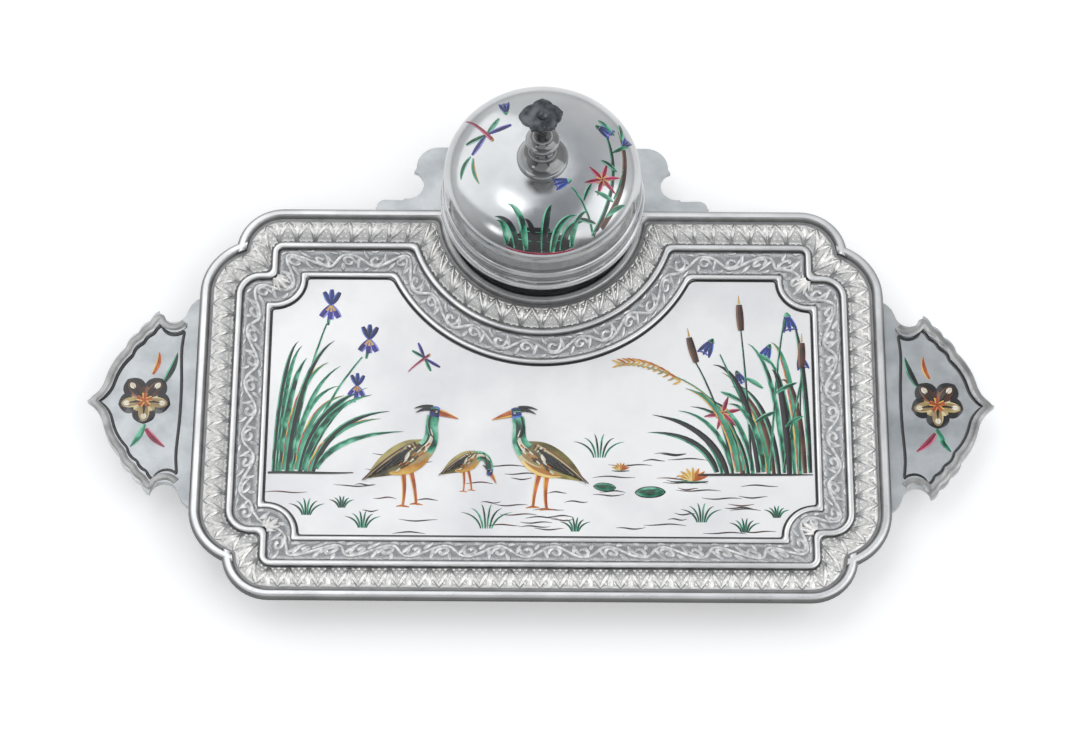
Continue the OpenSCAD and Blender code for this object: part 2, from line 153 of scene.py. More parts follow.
def silver(name, dark, light, rough, blotch=60, grain=900, bump=0.15, metallic=1.0):
    material, tree, shader = newFinish(name, metallic, rough[0])
    tree.links.new(clouded(tree, blotch, dark, light), shader.inputs["Base Color"])
    brush(tree, shader, rough, grain, bump)
    return material


def paintedLightByHeight(name, tones, dark, light, rough, blotch=60, grain=900, bump=0.15):
    # Silver with a tone at each height above the table, in millimetres: painted highlights, painted
    # reflections and painted shade in bands
    material, tree, shader = newFinish(name, 1.0, rough[0])
    low, high = tones[0][0], tones[-1][0]
    share = rescaled(tree, oneAxis(tree, texturePlace(tree), "Z"), low * mm, high * mm, 0, 1)
    shade = ramp(tree, share, [((z - low) / (high - low), (tone,) * 3) for z, tone in tones])
    tree.links.new(multiplied(tree, clouded(tree, blotch, dark, light), shade), shader.inputs["Base Color"])
    brush(tree, shader, rough, grain, bump)
    return material


def stippledAndShaded(name, ground, edge, rough):
    # Ground of a relief band: dark and pitted in the middle, cleaner towards both edges. The darker middle
    # and the dark pits are the ground's oxide together with painted shade among the relief and in the pits
    material, tree, shader = newFinish(name, 0.85, rough)
    across = oneAxis(tree, addNode(tree, "UVMap", {}).outputs["UV"], "Y")
    tone = ramp(tree, across, [(0.0, edge), (0.2, edge), (0.3, ground), (0.74, ground), (0.84, edge),
                               (1.0, edge)])
    pits = addNode(tree, "TexVoronoi", {"Vector": texturePlace(tree), "Scale": 1500}).outputs["Distance"]
    dots = ramp(tree, pits, [(0.05, (0.45, 0.45, 0.46)), (0.5, (1, 1, 1))])
    patches = spread(tree, noise(tree, 300), 0.3, 0.95)
    tree.links.new(multiplied(tree, tone, dots, patches), shader.inputs["Base Color"])
    roughen(tree, shader, pits, 0.5, 0.00025)
    return material


def enamel(name, stops, wander=0.35):
    # Colour runs along each stroke, pushed to and fro by a little noise
    rough = 0.16
    material, tree, shader = newFinish(name, 0.0, rough, 0.6)
    along = oneAxis(tree, addNode(tree, "UVMap", {}).outputs["UV"], "Y")
    push = spread(tree, noise(tree, 170, 2), -wander, wander)
    spot = combined(tree, "ADD", along, push)
    tree.links.new(ramp(tree, spot, stops), shader.inputs["Base Color"])
    tree.links.new(spread(tree, noise(tree, 500), rough * 0.7, rough * 1.5), shader.inputs["Roughness"])
    roughen(tree, shader, noise(tree, 420, 2), 0.12, 0.0001)
    return material


# Darker and paler tone, roughness, then size of the clouds, grain, bump and metallic share
evenTones = {
    "bright": ((0.66, 0.66, 0.66), (0.82, 0.82, 0.81), (0.28, 0.44)),
    "mirror": ((0.44, 0.45, 0.46), (0.60, 0.61, 0.615), (0.14, 0.22), 26, 260, 0.04),
    "relief": ((0.66, 0.65, 0.635), (0.95, 0.935, 0.905), (0.4, 0.58), 560, 1500, 0.6),
    "scroll": ((0.48, 0.49, 0.495), (0.86, 0.86, 0.855), (0.42, 0.6), 480, 1500, 0.6),
    # recess: a darker silver for the bands beside the relief, tarnish with painted shade
    "recess": ((0.18, 0.185, 0.19), (0.42, 0.42, 0.42), (0.4, 0.6), 420, 1200, 0.4),
    # gutter: a darker silver for the painted shade in the grooves beside the beads
    "gutter": ((0.12, 0.125, 0.13), (0.28, 0.28, 0.285), (0.4, 0.6), 300, 1200, 0.4),
    "satin": ((0.73, 0.725, 0.74), (0.885, 0.88, 0.875), (0.34, 0.5), 28, 1100, 0.2, 0.55),
    "handle": ((0.35, 0.37, 0.38), (0.53, 0.55, 0.56), (0.3, 0.46), 75, 900, 0.25),
    "handleEdge": ((0.24, 0.245, 0.24), (0.42, 0.42, 0.41), (0.26, 0.42), 140, 900, 0.3),
    "plain": ((0.42, 0.445, 0.455), (0.60, 0.62, 0.63), (0.28, 0.44), 70, 800, 0.2),
    "slate": ((0.035, 0.04, 0.045), (0.12, 0.13, 0.14), (0.22, 0.4), 300, 1200, 0.3),
    "brass": ((0.42, 0.30, 0.12), (0.66, 0.50, 0.22), (0.2, 0.4), 160, 900, 0.2),
}
# Heights with their tones of painted light and shade first, then the same as above
heightTones = {
    # rim: painted shade as a dark edge on the outer wall below the crest, and a painted highlight along the
    # crest
    "rim": ([(14, 0.05), (17.1, 0.06), (17.9, 0.2), (18.5, 0.34), (18.82, 0.72), (18.97, 1.0), (19.2, 1.0)],
            (0.66, 0.66, 0.665), (0.84, 0.84, 0.835), (0.26, 0.42)),
    # middle and window: a painted highlight along each bead's crest, with painted shade down its sides
    "middle": ([(15, 0.2), (16.2, 0.28), (16.6, 0.45), (16.8, 0.95), (16.9, 1.0)],
               (0.68, 0.68, 0.68), (0.86, 0.86, 0.85), (0.26, 0.42)),
    "window": ([(12.4, 0.25), (13.05, 0.3), (13.38, 0.6), (13.5, 1.0), (13.6, 1.0)],
               (0.70, 0.70, 0.70), (0.88, 0.88, 0.87), (0.26, 0.42)),
    # rimShade: painted shade over the inner side of the rim bead, lighter only at the crest
    "rimShade": ([(16.9, 0.42), (17.3, 0.34), (18.4, 0.36), (18.78, 0.62), (19, 0.95)],
                 (0.58, 0.58, 0.59), (0.76, 0.76, 0.76), (0.34, 0.5), 200),
    # stem: painted reflections, light and dark bands up the polished stem
    "stem": ([(61, 0.5), (61.9, 0.95), (62.3, 0.75), (63, 0.42), (66, 0.4), (68.5, 0.75), (72, 0.5),
              (73.8, 0.45), (75, 1.0), (76, 0.45), (79.5, 0.8), (83, 0.35), (92, 0.3)],
             (0.36, 0.37, 0.38), (0.54, 0.55, 0.55), (0.08, 0.16), 60, 300, 0.05),
    # bezel and cup: painted light and shade in bands on their mouldings
    "bezel": ([(31.5, 0.5), (33.2, 0.9), (34.6, 0.6), (35.4, 0.9), (38.2, 0.95), (39.6, 0.6), (40.4, 0.75),
               (41.3, 0.5), (42, 0.55), (43, 0.6)],
              (0.54, 0.55, 0.56), (0.68, 0.69, 0.70), (0.14, 0.24)),
    "cup": ([(19, 0.5), (26.5, 0.6), (28.2, 0.9), (30.4, 1.0), (31.2, 0.6), (35, 0.6)],
            (0.60, 0.61, 0.62), (0.76, 0.77, 0.78), (0.16, 0.28)),
}
metals = {key: silver(key + "Metal", *tones) for key, tones in evenTones.items()}
# These finishes carry painted light and shade, set by height
metals.update({key: paintedLightByHeight(key + "Metal", *tones) for key, tones in heightTones.items()})
metals["outerGround"] = stippledAndShaded("outerGround", (0.60, 0.595, 0.585), (0.86, 0.85, 0.83), 0.48)
metals["innerGround"] = stippledAndShaded("innerGround", (0.32, 0.33, 0.34), (0.56, 0.565, 0.57), 0.5)
metals["glaze"], tree, shader = newFinish("porcelainGlaze", 0.0, 0.1, 0.5)
tree.links.new(ramp(tree, noise(tree, 90), [(0.3, (0.80, 0.78, 0.73)), (0.7, (0.87, 0.86, 0.82))]),
               shader.inputs["Base Color"])
roughen(tree, shader, noise(tree, 250, 2), 0.05, 0.0002)
nodeMetals = {
    "tray_border": "rim", "enamel_panel": "satin", "left_handle": "handle", "right_handle": "handle",
    "back_bracket": "plain", "foot_front_left": "plain", "foot_front_right": "plain",
    "foot_back_left": "plain", "foot_back_right": "plain", "inkwell_body": "cup", "well_plate": "bright",
    "hinge_base_leaf": "plain", "hinge_lid_leaf": "plain", "lid_bezel": "bezel", "lid_dome": "mirror",
    "finial_stem": "stem", "finial_flower": "slate", "finial_button": "slate",
    "panel_clips": "brass", "clip_screws": "brass", "handle_screws": "brass", "bracket_screws": "brass",
    "inkwell_ring_nut": "brass", "hinge_pin": "brass", "finial_washer": "brass", "finial_nut": "brass",
    "ink_liner": "glaze",
}
for name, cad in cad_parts.items():
    for slot in cad.material_slots:
        slot.material = metals[nodeMetals[name]]
print("finishes made")


# Making pieces
def onlyThis(piece):
    bpy.ops.object.select_all(action="DESELECT")
    piece.select_set(True)
    bpy.context.view_layer.objects.active = piece


def mergeDoubles(piece):
    onlyThis(piece)
    bpy.ops.object.mode_set(mode="EDIT")
    bpy.ops.mesh.select_all(action="SELECT")
    bpy.ops.mesh.remove_doubles(threshold=0.000001)
    bpy.ops.mesh.normals_make_consistent(inside=False)
    bpy.ops.object.mode_set(mode="OBJECT")


def finishPiece(piece, name, material, angle, body="stand", slot="oxidised_silver"):
    piece.name = piece.data.name = name
    piece.data.materials.clear()
    piece.data.materials.append(material)
    onlyThis(piece)
    bpy.ops.object.shade_smooth_by_angle(angle=math.radians(angle))
    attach(piece, body)


def strokes(lines, flat, sides, smooth, looped=False):
    # Each line is (points, radii) in millimetres. All are bevelled curves in one object,
    # which is made a mesh and then flattened, so heights are stretched beforehand.
    bpy.ops.curve.primitive_nurbs_path_add()
    piece = bpy.context.object
    curve = piece.data
    curve.splines.clear()
    for points, radii in lines:
        spline = curve.splines.new("NURBS")
        spline.points.add(len(points) - 1)
        for spot, (x, y, z), r in zip(spline.points, points, radii):
            spot.co = (x * mm, (y + tray["shiftY"]) * mm, (z + tray["crestZ"]) * mm / flat, 1)
            spot.radius = r
        spline.order_u = min(4, len(points)) if not looped else 3
        spline.use_cyclic_u = looped
        spline.use_endpoint_u = not looped
        spline.resolution_u = smooth
    curve.dimensions = "3D"
    curve.twist_mode = "Z_UP"
    curve.bevel_depth = mm
    curve.bevel_resolution = sides
    curve.use_fill_caps = not looped
    onlyThis(piece)
    bpy.ops.object.convert(target="MESH")
    piece = bpy.context.object
    mergeDoubles(piece)
    onlyThis(piece)
    bpy.ops.transform.resize(value=(1, 1, flat), center_override=(0, 0, 0))
    bpy.ops.object.transform_apply(location=True, rotation=True, scale=True)
    return piece


def skin(rings, wall=None):
    # A grid wrapped round closed rings of points, merged at its seam, then given a wall
    count, rows = len(rings[0]), len(rings)
    bpy.ops.mesh.primitive_grid_add(x_subdivisions=count, y_subdivisions=rows - 1, size=0.1)
    piece = bpy.context.object
    for i, vertex in enumerate(piece.data.vertices):
        vertex.co = rings[i // (count + 1)][i % (count + 1) % count]
    piece.location = (0, 0, 0)
    mergeDoubles(piece)
    if wall:
        onlyThis(piece)
        made = piece.modifiers.new("wall", "SOLIDIFY")
        made.thickness, made.offset = wall * mm, -1
        bpy.ops.object.modifier_apply(modifier="wall")
    return piece


def turned(edge, steps=144):
    # Closed edge of (radius, height) points, spun about the inkwell's axis
    angles = [2 * math.pi * i / steps for i in range(steps)]
    return skin([[place(r * math.cos(a), tray["bayY"] + r * math.sin(a), z) for a in angles]
                 for r, z in edge])


def smoothCopy(node, body, slot):
    bpy.ops.mesh.primitive_plane_add()
    piece = bpy.context.object
    piece.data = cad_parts[node].data.copy()
    mergeDoubles(piece)
    words = node.split("_")
    name = words[0] + "".join(word.capitalize() for word in words[1:])
    finishPiece(piece, name, metals[nodeMetals[node]], 32, body, slot)
    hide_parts(node)


# Round pieces
roundNodes = {"stand": {"polished_silver": ["inkwell_body", "well_plate"],
                        "oxidised_silver": ["foot_front_left", "foot_front_right",
                                            "foot_back_left", "foot_back_right"]},
              "lid": {"dark_flower": ["finial_flower", "finial_button"]},
              "liner": {"porcelain": ["ink_liner"]}}
for body, slots in roundNodes.items():
    for slot, nodes in slots.items():
        for node in nodes:
            smoothCopy(node, body, slot)

dome = {"top": 42.3, "radius": 37.4, "spring": 27.5, "fullness": 2.5, "foot": 23.0, "wall": 1.2,
        "hole": 1.6, "steps": 44}


def domeHeight(r, inwards=0.0):
    wide, rise = dome["radius"] - inwards, dome["top"] - inwards - dome["spring"]
    return dome["spring"] + rise * max(0, 1 - (r / wide) ** dome["fullness"]) ** (1 / dome["fullness"])


def domeEdge(inwards):
    wide = dome["radius"] - inwards
    count = dome["steps"]
    across = [wide * math.cos(math.radians(90 - 90 * i / count)) ** (2 / dome["fullness"])
              for i in range(count + 1)]
    radii = [dome["hole"]] + [r for r in across if r > dome["hole"] + 0.3]
    return [(r, domeHeight(r, inwards)) for r in radii] + [(wide, dome["foot"])]


edge = domeEdge(0) + domeEdge(dome["wall"])[::-1]
lidDome = turned(edge + edge[:1])
finishPiece(lidDome, "lidDome", metals["mirror"], 40, "lid", "polished_silver")
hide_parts("lid_dome")


def bow(p, q, rise, count):
    # Points after p up to q, along a shallow arch
    long = math.dist(p, q)
    return [(p[0] + t * (q[0] - p[0]) - 4 * t * (1 - t) * rise / long * (q[1] - p[1]),
             p[1] + t * (q[1] - p[1]) + 4 * t * (1 - t) * rise / long * (q[0] - p[0]))
            for t in [i / count for i in range(1, count + 1)]]


def arcLine(cx, cy, r, start, end, steps=24):
    angles = [math.radians(start + (end - start) * i / steps) for i in range(steps + 1)]
    return [(cx + r * math.cos(a), cy + r * math.sin(a)) for a in angles]


# Moulded ring under the dome: a wall with a round moulding, a lip and two recesses for the hinge
bezel = {"inner": 34.8, "outer": 37.2, "lip": 36.1, "foot": 13.0, "lipTop": 26.0, "soft": 0.2,
         "roll": 36.6, "rollZ": 18.5, "rollR": 1.7, "recesses": [(7, 36.9), (9, 38.1)], "recessZ": (12, 16.2),
         "recessDeep": 5}
half = math.degrees(math.acos((bezel["outer"] - bezel["roll"]) / bezel["rollR"]))
edge = ([(bezel["inner"], bezel["foot"]), (bezel["outer"] - bezel["soft"], bezel["foot"]),
         (bezel["outer"], bezel["foot"] + bezel["soft"])]
        + arcLine(bezel["roll"], bezel["rollZ"], bezel["rollR"], -half, half, 14)
        + [(bezel["outer"], dome["foot"]), (bezel["lip"], dome["foot"]), (bezel["lip"], bezel["lipTop"]),
           (bezel["inner"], bezel["lipTop"])])
lidBezel = turned(edge + edge[:1])
for wide, near in bezel["recesses"]:
    low = place(-wide, tray["bayY"] + near, bezel["recessZ"][0])
    high = place(wide, tray["bayY"] + near + bezel["recessDeep"], bezel["recessZ"][1])
    bpy.ops.mesh.primitive_cube_add(size=1, location=(low + high) / 2)
    block = bpy.context.object
    block.scale = high - low
    onlyThis(lidBezel)
    made = lidBezel.modifiers.new("recess", "BOOLEAN")
    made.operation, made.solver, made.object = "DIFFERENCE", "EXACT", block
    bpy.ops.object.modifier_apply(modifier="recess")
    onlyThis(block)
    bpy.ops.object.delete()
finishPiece(lidBezel, "lidBezel", metals["bezel"], 40, "lid", "polished_silver")
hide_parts("lid_bezel")

# Finial's stem: bolt, foot, lower bell, neck, ring, upper bell, waist, head and tenon.
# Its heights start at the dome's top.
baluster = {"boltR": 1.4, "boltEnd": -6.4, "seatR": 4, "footR": 9.7, "footRoll": 0.9, "bell": (8.3, 1.5),
            "neck": (3.6, 7.4), "ringR": 5.5, "ringZ": 13.7, "ringRoll": 0.8, "waist": (3, 18.4),
            "headR": 5.4, "headZ": 30, "capR": 3.1, "cap": 1.1, "tenonR": 1.1, "tenon": 3.6,
            "bows": [(1.2, 12), (0.8, 8), (0.9, 8), (0.7, 8)], "steps": 72}
neck, waist, rollR, bows = [baluster[key] for key in ("neck", "waist", "ringRoll", "bows")]
headZ, headR, rimR = baluster["headZ"], baluster["headR"], baluster["footR"] - baluster["footRoll"]
ringLow, ringHigh = baluster["ringZ"] - rollR, baluster["ringZ"] + rollR
capZ, tenonZ = headZ + baluster["cap"], headZ + baluster["tenon"]
edge = ([(0, baluster["boltEnd"]), (baluster["boltR"], baluster["boltEnd"]), (baluster["boltR"], -0.02)]
        + [(r, domeHeight(r) - dome["top"] - 0.01) for r in (baluster["seatR"], rimR)]
        + arcLine(rimR, 0.4, baluster["footRoll"], -40, 90, 8) + [baluster["bell"]]
        + bow(baluster["bell"], neck, *bows[0]) + bow(neck, (baluster["ringR"], ringLow), *bows[1])
        + arcLine(baluster["ringR"] + 0.1, baluster["ringZ"], rollR, -90, 90, 8)
        + bow((headR, ringHigh), waist, *bows[2]) + bow(waist, (headR, headZ - 1), *bows[3])
        + [(headR, headZ), (baluster["capR"], capZ), (baluster["tenonR"], capZ), (baluster["tenonR"], tenonZ),
           (0, tenonZ)])
finialStem = turned([(r, z + dome["top"]) for r, z in edge], baluster["steps"])
finishPiece(finialStem, "finialStem", metals["stem"], 38, "lid", "polished_silver")
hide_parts("finial_stem")
print("round pieces made")


# Lines of the border. Two crossed rounded rectangles, wide and deep, make its outline:
# each is half its width, half its depth and its corner's radius.
border = {"wide": (128.4, 65.5, 21.0), "deep": (115.3, 78.6, 16.0), "notch": (102.4, 52.6), "notchIn": 12.9,
          "cornerCut": (0.9, 0.13), "windowCut": 1.2, "windowReach": 6, "bayCut": 1.6}
pointCounts = {"side": 20, "front": 50, "lobes": (12, 8, 12), "hollow": (3, 4, 9), "bay": (24, 6, 44)}
scrollBand = {"from": 14.0, "wide": 9.1}


def lengthOf(line):
    return sum(math.dist(p, q) for p, q in zip(line, line[1:]))


def evenly(line, count):
    # So many points along the line after its first one, evenly spaced, with its end as the last
    total, made, walked, k = lengthOf(line), [], 0.0, 0
    for i in range(1, count + 1):
        goal = total * i / count
        while k < len(line) - 2 and walked + math.dist(line[k], line[k + 1]) < goal:
            walked += math.dist(line[k], line[k + 1])
            k += 1
        step = math.dist(line[k], line[k + 1]) or 1
        t = min(1, (goal - walked) / step)
        made.append(tuple(a + (b - a) * t for a, b in zip(line[k], line[k + 1])))
    return made


def trimmed(line, cut, steps=60):
    # The line without its last part, which is as long as the cut
    share = max(0.05, 1 - cut / max(lengthOf(line), 0.001))
    fine = [line[0]] + evenly(line, steps)
    return fine[:max(2, round(steps * share))]


def softCorner(before, after, cut, counts):
    # Two lines that meet, with the corner between them rounded
    first, last = trimmed(before, cut), trimmed(after[::-1], cut)[::-1]
    ends = list(zip(first[-1], before[-1], last[0]))
    bend = [tuple((1 - t) ** 2 * a + 2 * t * (1 - t) * b + t * t * c for a, b, c in ends)
            for t in [i / 12 for i in range(13)]]
    return evenly(first, counts[0]) + evenly(bend, counts[1]) + evenly(last, counts[2])


def cornerLines(inset):
    # From the right side over both lobes to the back side, as two lines that meet in the notch
    (w, wy, wr), (dx, d, dr) = border["wide"], border["deep"]
    wx, wc, dc, dd = w - wr, wy - wr, dx - dr, d - dr
    r1, r2, side = max(wr - inset, 0.05), max(dr - inset, 0.05), dx - inset
    if side < wx:
        meet = (side, wy - inset)
        return (arcLine(wx, wc, r1, 0, 90) + [meet]), ([meet] + arcLine(dc, dd, r2, 0, 90))
    y = wc + math.sqrt(r1 * r1 - (side - wx) ** 2)
    if y > dd:
        gap = math.hypot(dc - wx, dd - wc)
        along = (r1 * r1 - r2 * r2 + gap * gap) / (2 * gap)
        off = math.sqrt(max(r1 * r1 - along * along, 0))
        ux, uy = (dc - wx) / gap, (dd - wc) / gap
        side, y = wx + ux * along + uy * off, wc + uy * along - ux * off
    a1 = math.degrees(math.atan2(y - wc, side - wx))
    first = arcLine(wx, wc, r1, 0, a1)
    if y > dd:
        return first, arcLine(dc, dd, r2, math.degrees(math.atan2(y - dd, side - dc)), 90)
    return first, [first[-1]] + arcLine(dc, dd, r2, 0, 90)


def ringLine(kind, inset):
    # Closed line at a distance in from the rim crest, the same number of points for every distance
    halfW, halfD = border["wide"][0] - inset, border["deep"][1] - inset
    if kind == "outer":
        first, last = cornerLines(inset)
        cut = border["cornerCut"][0] + border["cornerCut"][1] * inset
        corner = softCorner(first, last, cut, pointCounts["lobes"])
        shoulder = first[0]
    else:
        nx, ny = border["notch"]
        r = inset - border["notchIn"]
        a0 = -math.degrees(math.acos((halfW - nx) / r))
        a1 = -180 - math.degrees(math.asin((halfD - ny) / r))
        hollow = arcLine(nx, ny, r, a0, a1)
        half = len(hollow) // 2
        cut, reach = border["windowCut"], border["windowReach"]
        shoulder, far = (halfW, hollow[0][1] - reach), (hollow[-1][0] - reach, halfD)
        counts = pointCounts["hollow"]
        corner = (softCorner([shoulder, hollow[0]], hollow[:half + 1], cut, counts)
                  + softCorner(hollow[half:], [hollow[-1], far], cut, counts[::-1]))
    quarter = evenly([(halfW, 0), shoulder], pointCounts["side"]) + corner
    bayR = tray["bayR"] + inset
    a = math.degrees(math.asin((halfD - tray["bayY"]) / bayR))
    bayArc = arcLine(0, tray["bayY"], bayR, a, -90, 60)
    bay = softCorner([quarter[-1], (bayArc[0][0], halfD)], bayArc, border["bayCut"], pointCounts["bay"])
    front = [(x, -y) for x, y in quarter[::-1]] + [(halfW, 0)]
    half = [(0, -halfD)] + evenly([(0, -halfD), front[0]], pointCounts["front"]) + front[1:] + quarter + bay
    return half + [(-x, y) for x, y in half[-2:0:-1]]


def sectionRings(kind, section):
    return [[place(x, y, z) for x, y in ringLine(kind, inset)] for inset, z in section]


def heightAt(section, inset):
    for (a, za), (b, zb) in zip(section, section[1:]):
        if inset <= b:
            return za + (zb - za) * max(0, inset - a) / (b - a)
    return section[-1][1]


# Border skins, from sections of (distance in from the rim crest, height)
beads = {
    "middle": [(11.6, -3.9), (11.7, -2.75), (12.0, -2.3), (12.4, -2.15), (12.9, -2.12), (13.4, -2.15),
               (13.8, -2.3), (14.1, -2.75), (14.2, -4.0), (12.9, -4.3), (11.6, -3.9)],
    "window": [(23.0, -6.4), (23.05, -5.85), (23.25, -5.55), (23.6, -5.42), (24.2, -5.42), (24.65, -5.55),
               (24.88, -5.85), (24.95, -6.75), (24.0, -6.9), (23.0, -6.4)],
    "rimShade": [(0.53, -0.01), (1.03, -0.216), (1.457, -0.543), (1.784, -0.97), (1.99, -1.467),
                 (2.15, -1.78), (2.7, -1.86), (3.2, -1.86), (3.2, -2.1), (1.9, -2.1), (1.2, -0.8),
                 (0.6, -0.3), (0.53, -0.01)],
    "leafBed": [(1.6, -2.1), (2.3, -1.85), (3.1, -1.95), (3.6, -1.85), (4.6, -1.5), (5.8, -1.3), (6.9, -1.3),
                (8.0, -1.5), (9.4, -2.15), (10.2, -2.8), (10.6, -3.15), (11.2, -3.4), (11.8, -3.5)],
    "scrollBed": [(14.0, -3.8), (14.9, -3.82), (16.0, -4.0), (17.2, -4.2), (18.5, -4.45), (19.8, -4.75),
                  (21.0, -5.1), (22.2, -5.6), (23.1, -5.95)],
}
# rimShade is a thin dark sheet laid over the inner side of the rim bead: painted shade
for name, kind, key in [("middleBead", "outer", "middle"), ("rimShade", "outer", "rimShade"),
                        ("windowBead", "window", "window")]:
    finishPiece(skin(sectionRings(kind, beads[key])), name, metals[key], 50)
bedWall = 0.25
leafBed = skin(sectionRings("outer", beads["leafBed"]), bedWall)
finishPiece(leafBed, "leafBed", metals["outerGround"], 40)
outerLine = ringLine("outer", scrollBand["from"])
innerLine = ringLine("window", scrollBand["from"] + scrollBand["wide"])


def scrollLine(share):
    return [tuple(a + (b - a) * share for a, b in zip(p, q)) for p, q in zip(outerLine, innerLine)]


scrollRings = [[place(x, y, z) for x, y in scrollLine((inset - scrollBand["from"]) / scrollBand["wide"])]
               for inset, z in beads["scrollBed"]]
scrollBed = skin(scrollRings, bedWall)
finishPiece(scrollBed, "scrollBed", metals["innerGround"], 40)
print("border skins made")


# Relief on the bands
def bandMap(lines):
    # Takes (distance along the band's middle, share across it) to a point of the tray
    middle = lines[len(lines) // 2]
    marks = [0.0]
    for p, q in zip(middle, middle[1:] + middle[:1]):
        marks.append(marks[-1] + math.dist(p, q))

    def spot(s, across):
        s %= marks[-1]
        low, high = 0, len(marks) - 1
        while high - low > 1:
            half = (low + high) // 2
            low, high = (half, high) if marks[half] <= s else (low, half)
        t = (s - marks[low]) / max(marks[high] - marks[low], 1e-9)
        row = min(max(across, 0), 1) * (len(lines) - 1)
        k = min(int(row), len(lines) - 2)
        a, b = lines[k], lines[k + 1]
        n = len(a)
        near = [a[low][j] + (a[high % n][j] - a[low][j]) * t for j in (0, 1)]
        far = [b[low][j] + (b[high % n][j] - b[low][j]) * t for j in (0, 1)]
        return tuple(near[j] + (far[j] - near[j]) * (row - k) for j in (0, 1))

    return spot, marks[-1]


leafBand = {"from": 3.4, "to": 11.1, "pitch": 7.4, "rise": 0.05, "flat": 0.45, "shade": (0.3, 0.06)}
leafWide = leafBand["to"] - leafBand["from"]
leafLines = [ringLine("outer", leafBand["from"] + leafWide * k / 6) for k in range(7)]
leafSpot, leafLength = bandMap(leafLines)
leafCount = round(leafLength / leafBand["pitch"])
# Strokes of one leaf, as shares along its pitch and across the band: two ribs, foot and midrib, then dots
leafShapes = [
    ([(0.0, 0.03), (0.16, 0.30), (0.34, 0.60), (0.52, 0.97)], (0.3, 0.55, 0.6, 0.35)),
    ([(0.52, 0.97), (0.66, 0.60), (0.84, 0.30), (1.0, 0.03)], (0.35, 0.6, 0.55, 0.3)),
    ([(0.14, 0.05), (0.50, 0.07), (0.86, 0.05)], (0.4, 0.7, 0.4)),
    ([(0.50, 0.10), (0.51, 0.34), (0.53, 0.66)], (0.9, 0.85, 0.3)),
]
for u, v, r in [(0.27, 0.2, 0.62), (0.73, 0.2, 0.62), (0.38, 0.4, 0.5), (0.64, 0.4, 0.5), (-0.3, 0.95, 0.5),
                (0.0, 0.96, 0.6), (0.3, 0.95, 0.5), (-0.15, 0.76, 0.5), (0.15, 0.76, 0.5), (0.0, 0.55, 0.42),
                (0.0, 0.34, 0.3)]:
    leafShapes.append(([(u - 0.03, v - 0.02), (u + 0.03, v + 0.02)], (r, r)))


def finer(points, radii, count=3):
    # The stroke with more points, so that it follows a curved bed
    marks = [(k, t / count) for k in range(len(points) - 1) for t in range(count)] + [(len(points) - 2, 1)]
    return ([tuple(a + (b - a) * t for a, b in zip(points[k], points[k + 1])) for k, t in marks],
            [radii[k] + (radii[k + 1] - radii[k]) * t for k, t in marks])


def shaded(lines, more, sink):
    # The same strokes, wider and lower: the tarnish and painted shade beside a relief
    return [([(x, y, z - sink) for x, y, z in points], [r + more for r in radii])
            for points, radii in lines]


def layRelief(name, finish, angle, lines, flat, sides, smooth, looped=False):
    finishPiece(strokes(lines, flat, sides, smooth, looped), name, metals[finish], angle)


leafStrokes, leafRibs = [], []
for i in range(leafCount):
    for k, (points, radii) in enumerate(leafShapes):
        if k < 4:
            points, radii = finer(points, radii)
        line = []
        for u, v in points:
            x, y = leafSpot((i + u) * leafLength / leafCount, v)
            z = heightAt(beads["leafBed"], leafBand["from"] + leafWide * v) + leafBand["rise"]
            line.append((x, y, z))
        leafStrokes.append((line, radii))
        if k < 2:
            leafRibs.append((line, radii))
shadeFlat = 0.12
layRelief("stampedLeaves", "relief", 35, leafStrokes, leafBand["flat"], 0, 2)
layRelief("leafShade", "recess", 60, shaded(leafRibs, *leafBand["shade"]), shadeFlat, 0, 1)

# Dark lines beside the beads, painted shade where they meet the bands: ring, distance in, height and radius
grooveShades = {"leafGroove": ("outer", 11.25, -3.28, 0.34), "scrollGroove": ("outer", 14.5, -3.74, 0.42),
           "windowGroove": ("window", 22.8, -5.74, 0.2)}
grooveFlat = 0.4
for name, (kind, inset, z, r) in grooveShades.items():
    ring = [(x, y, z) for x, y in ringLine(kind, inset)]
    layRelief(name, "gutter", 60, [(ring, [r] * len(ring))], grooveFlat, 1, 1, True)

# Vine on the inner band: a waving stem with a curl and five leaves in each half wave
vineBand = {"period": 21.0, "swing": 0.27, "rise": 0.1, "flat": 0.6, "stem": 0.6, "curl": 2.5, "leaf": 1.3,
            "shade": (0.34, 0.12), "curlShade": (0.3, 0.12)}
vineSpot, vineLength = bandMap([scrollLine(k / 6) for k in range(7)])
waveCount = round(vineLength / vineBand["period"])
wave = vineLength / waveCount


def vinePoint(s, v):
    x, y = vineSpot(s, v)
    return x, y, heightAt(beads["scrollBed"], scrollBand["from"] + scrollBand["wide"] * v) + vineBand["rise"]


vineLine = [vinePoint(wave * i / 10, 0.5 + vineBand["swing"] * math.sin(2 * math.pi * i / 10))
            for i in range(waveCount * 10)]
vine = [(vineLine, [vineBand["stem"]] * len(vineLine))]
layRelief("vineStem", "scroll", 40, vine, vineBand["flat"], 1, 3, True)
layRelief("vineShade", "recess", 60, shaded(vine, *vineBand["shade"]), shadeFlat, 1, 2, True)
vineLeaves = [
    ([(-3.6, 0.10), (-2.6, -0.12), (-2.4, -0.34)], (0.3, 0.85, 0.15)),
    ([(3.4, 0.30), (4.6, 0.38), (6.0, 0.36)], (0.3, 0.75, 0.12)),
    ([(3.2, -0.1), (4.3, -0.26), (5.0, -0.42)], (0.25, 0.9, 0.15)),
    ([(-1.2, 0.36), (0.6, 0.42), (2.2, 0.38)], (0.25, 0.6, 0.15)),
    ([(0.2, -0.42), (1.4, -0.36), (2.6, -0.40)], (0.2, 0.6, 0.12)),
]
curls = []
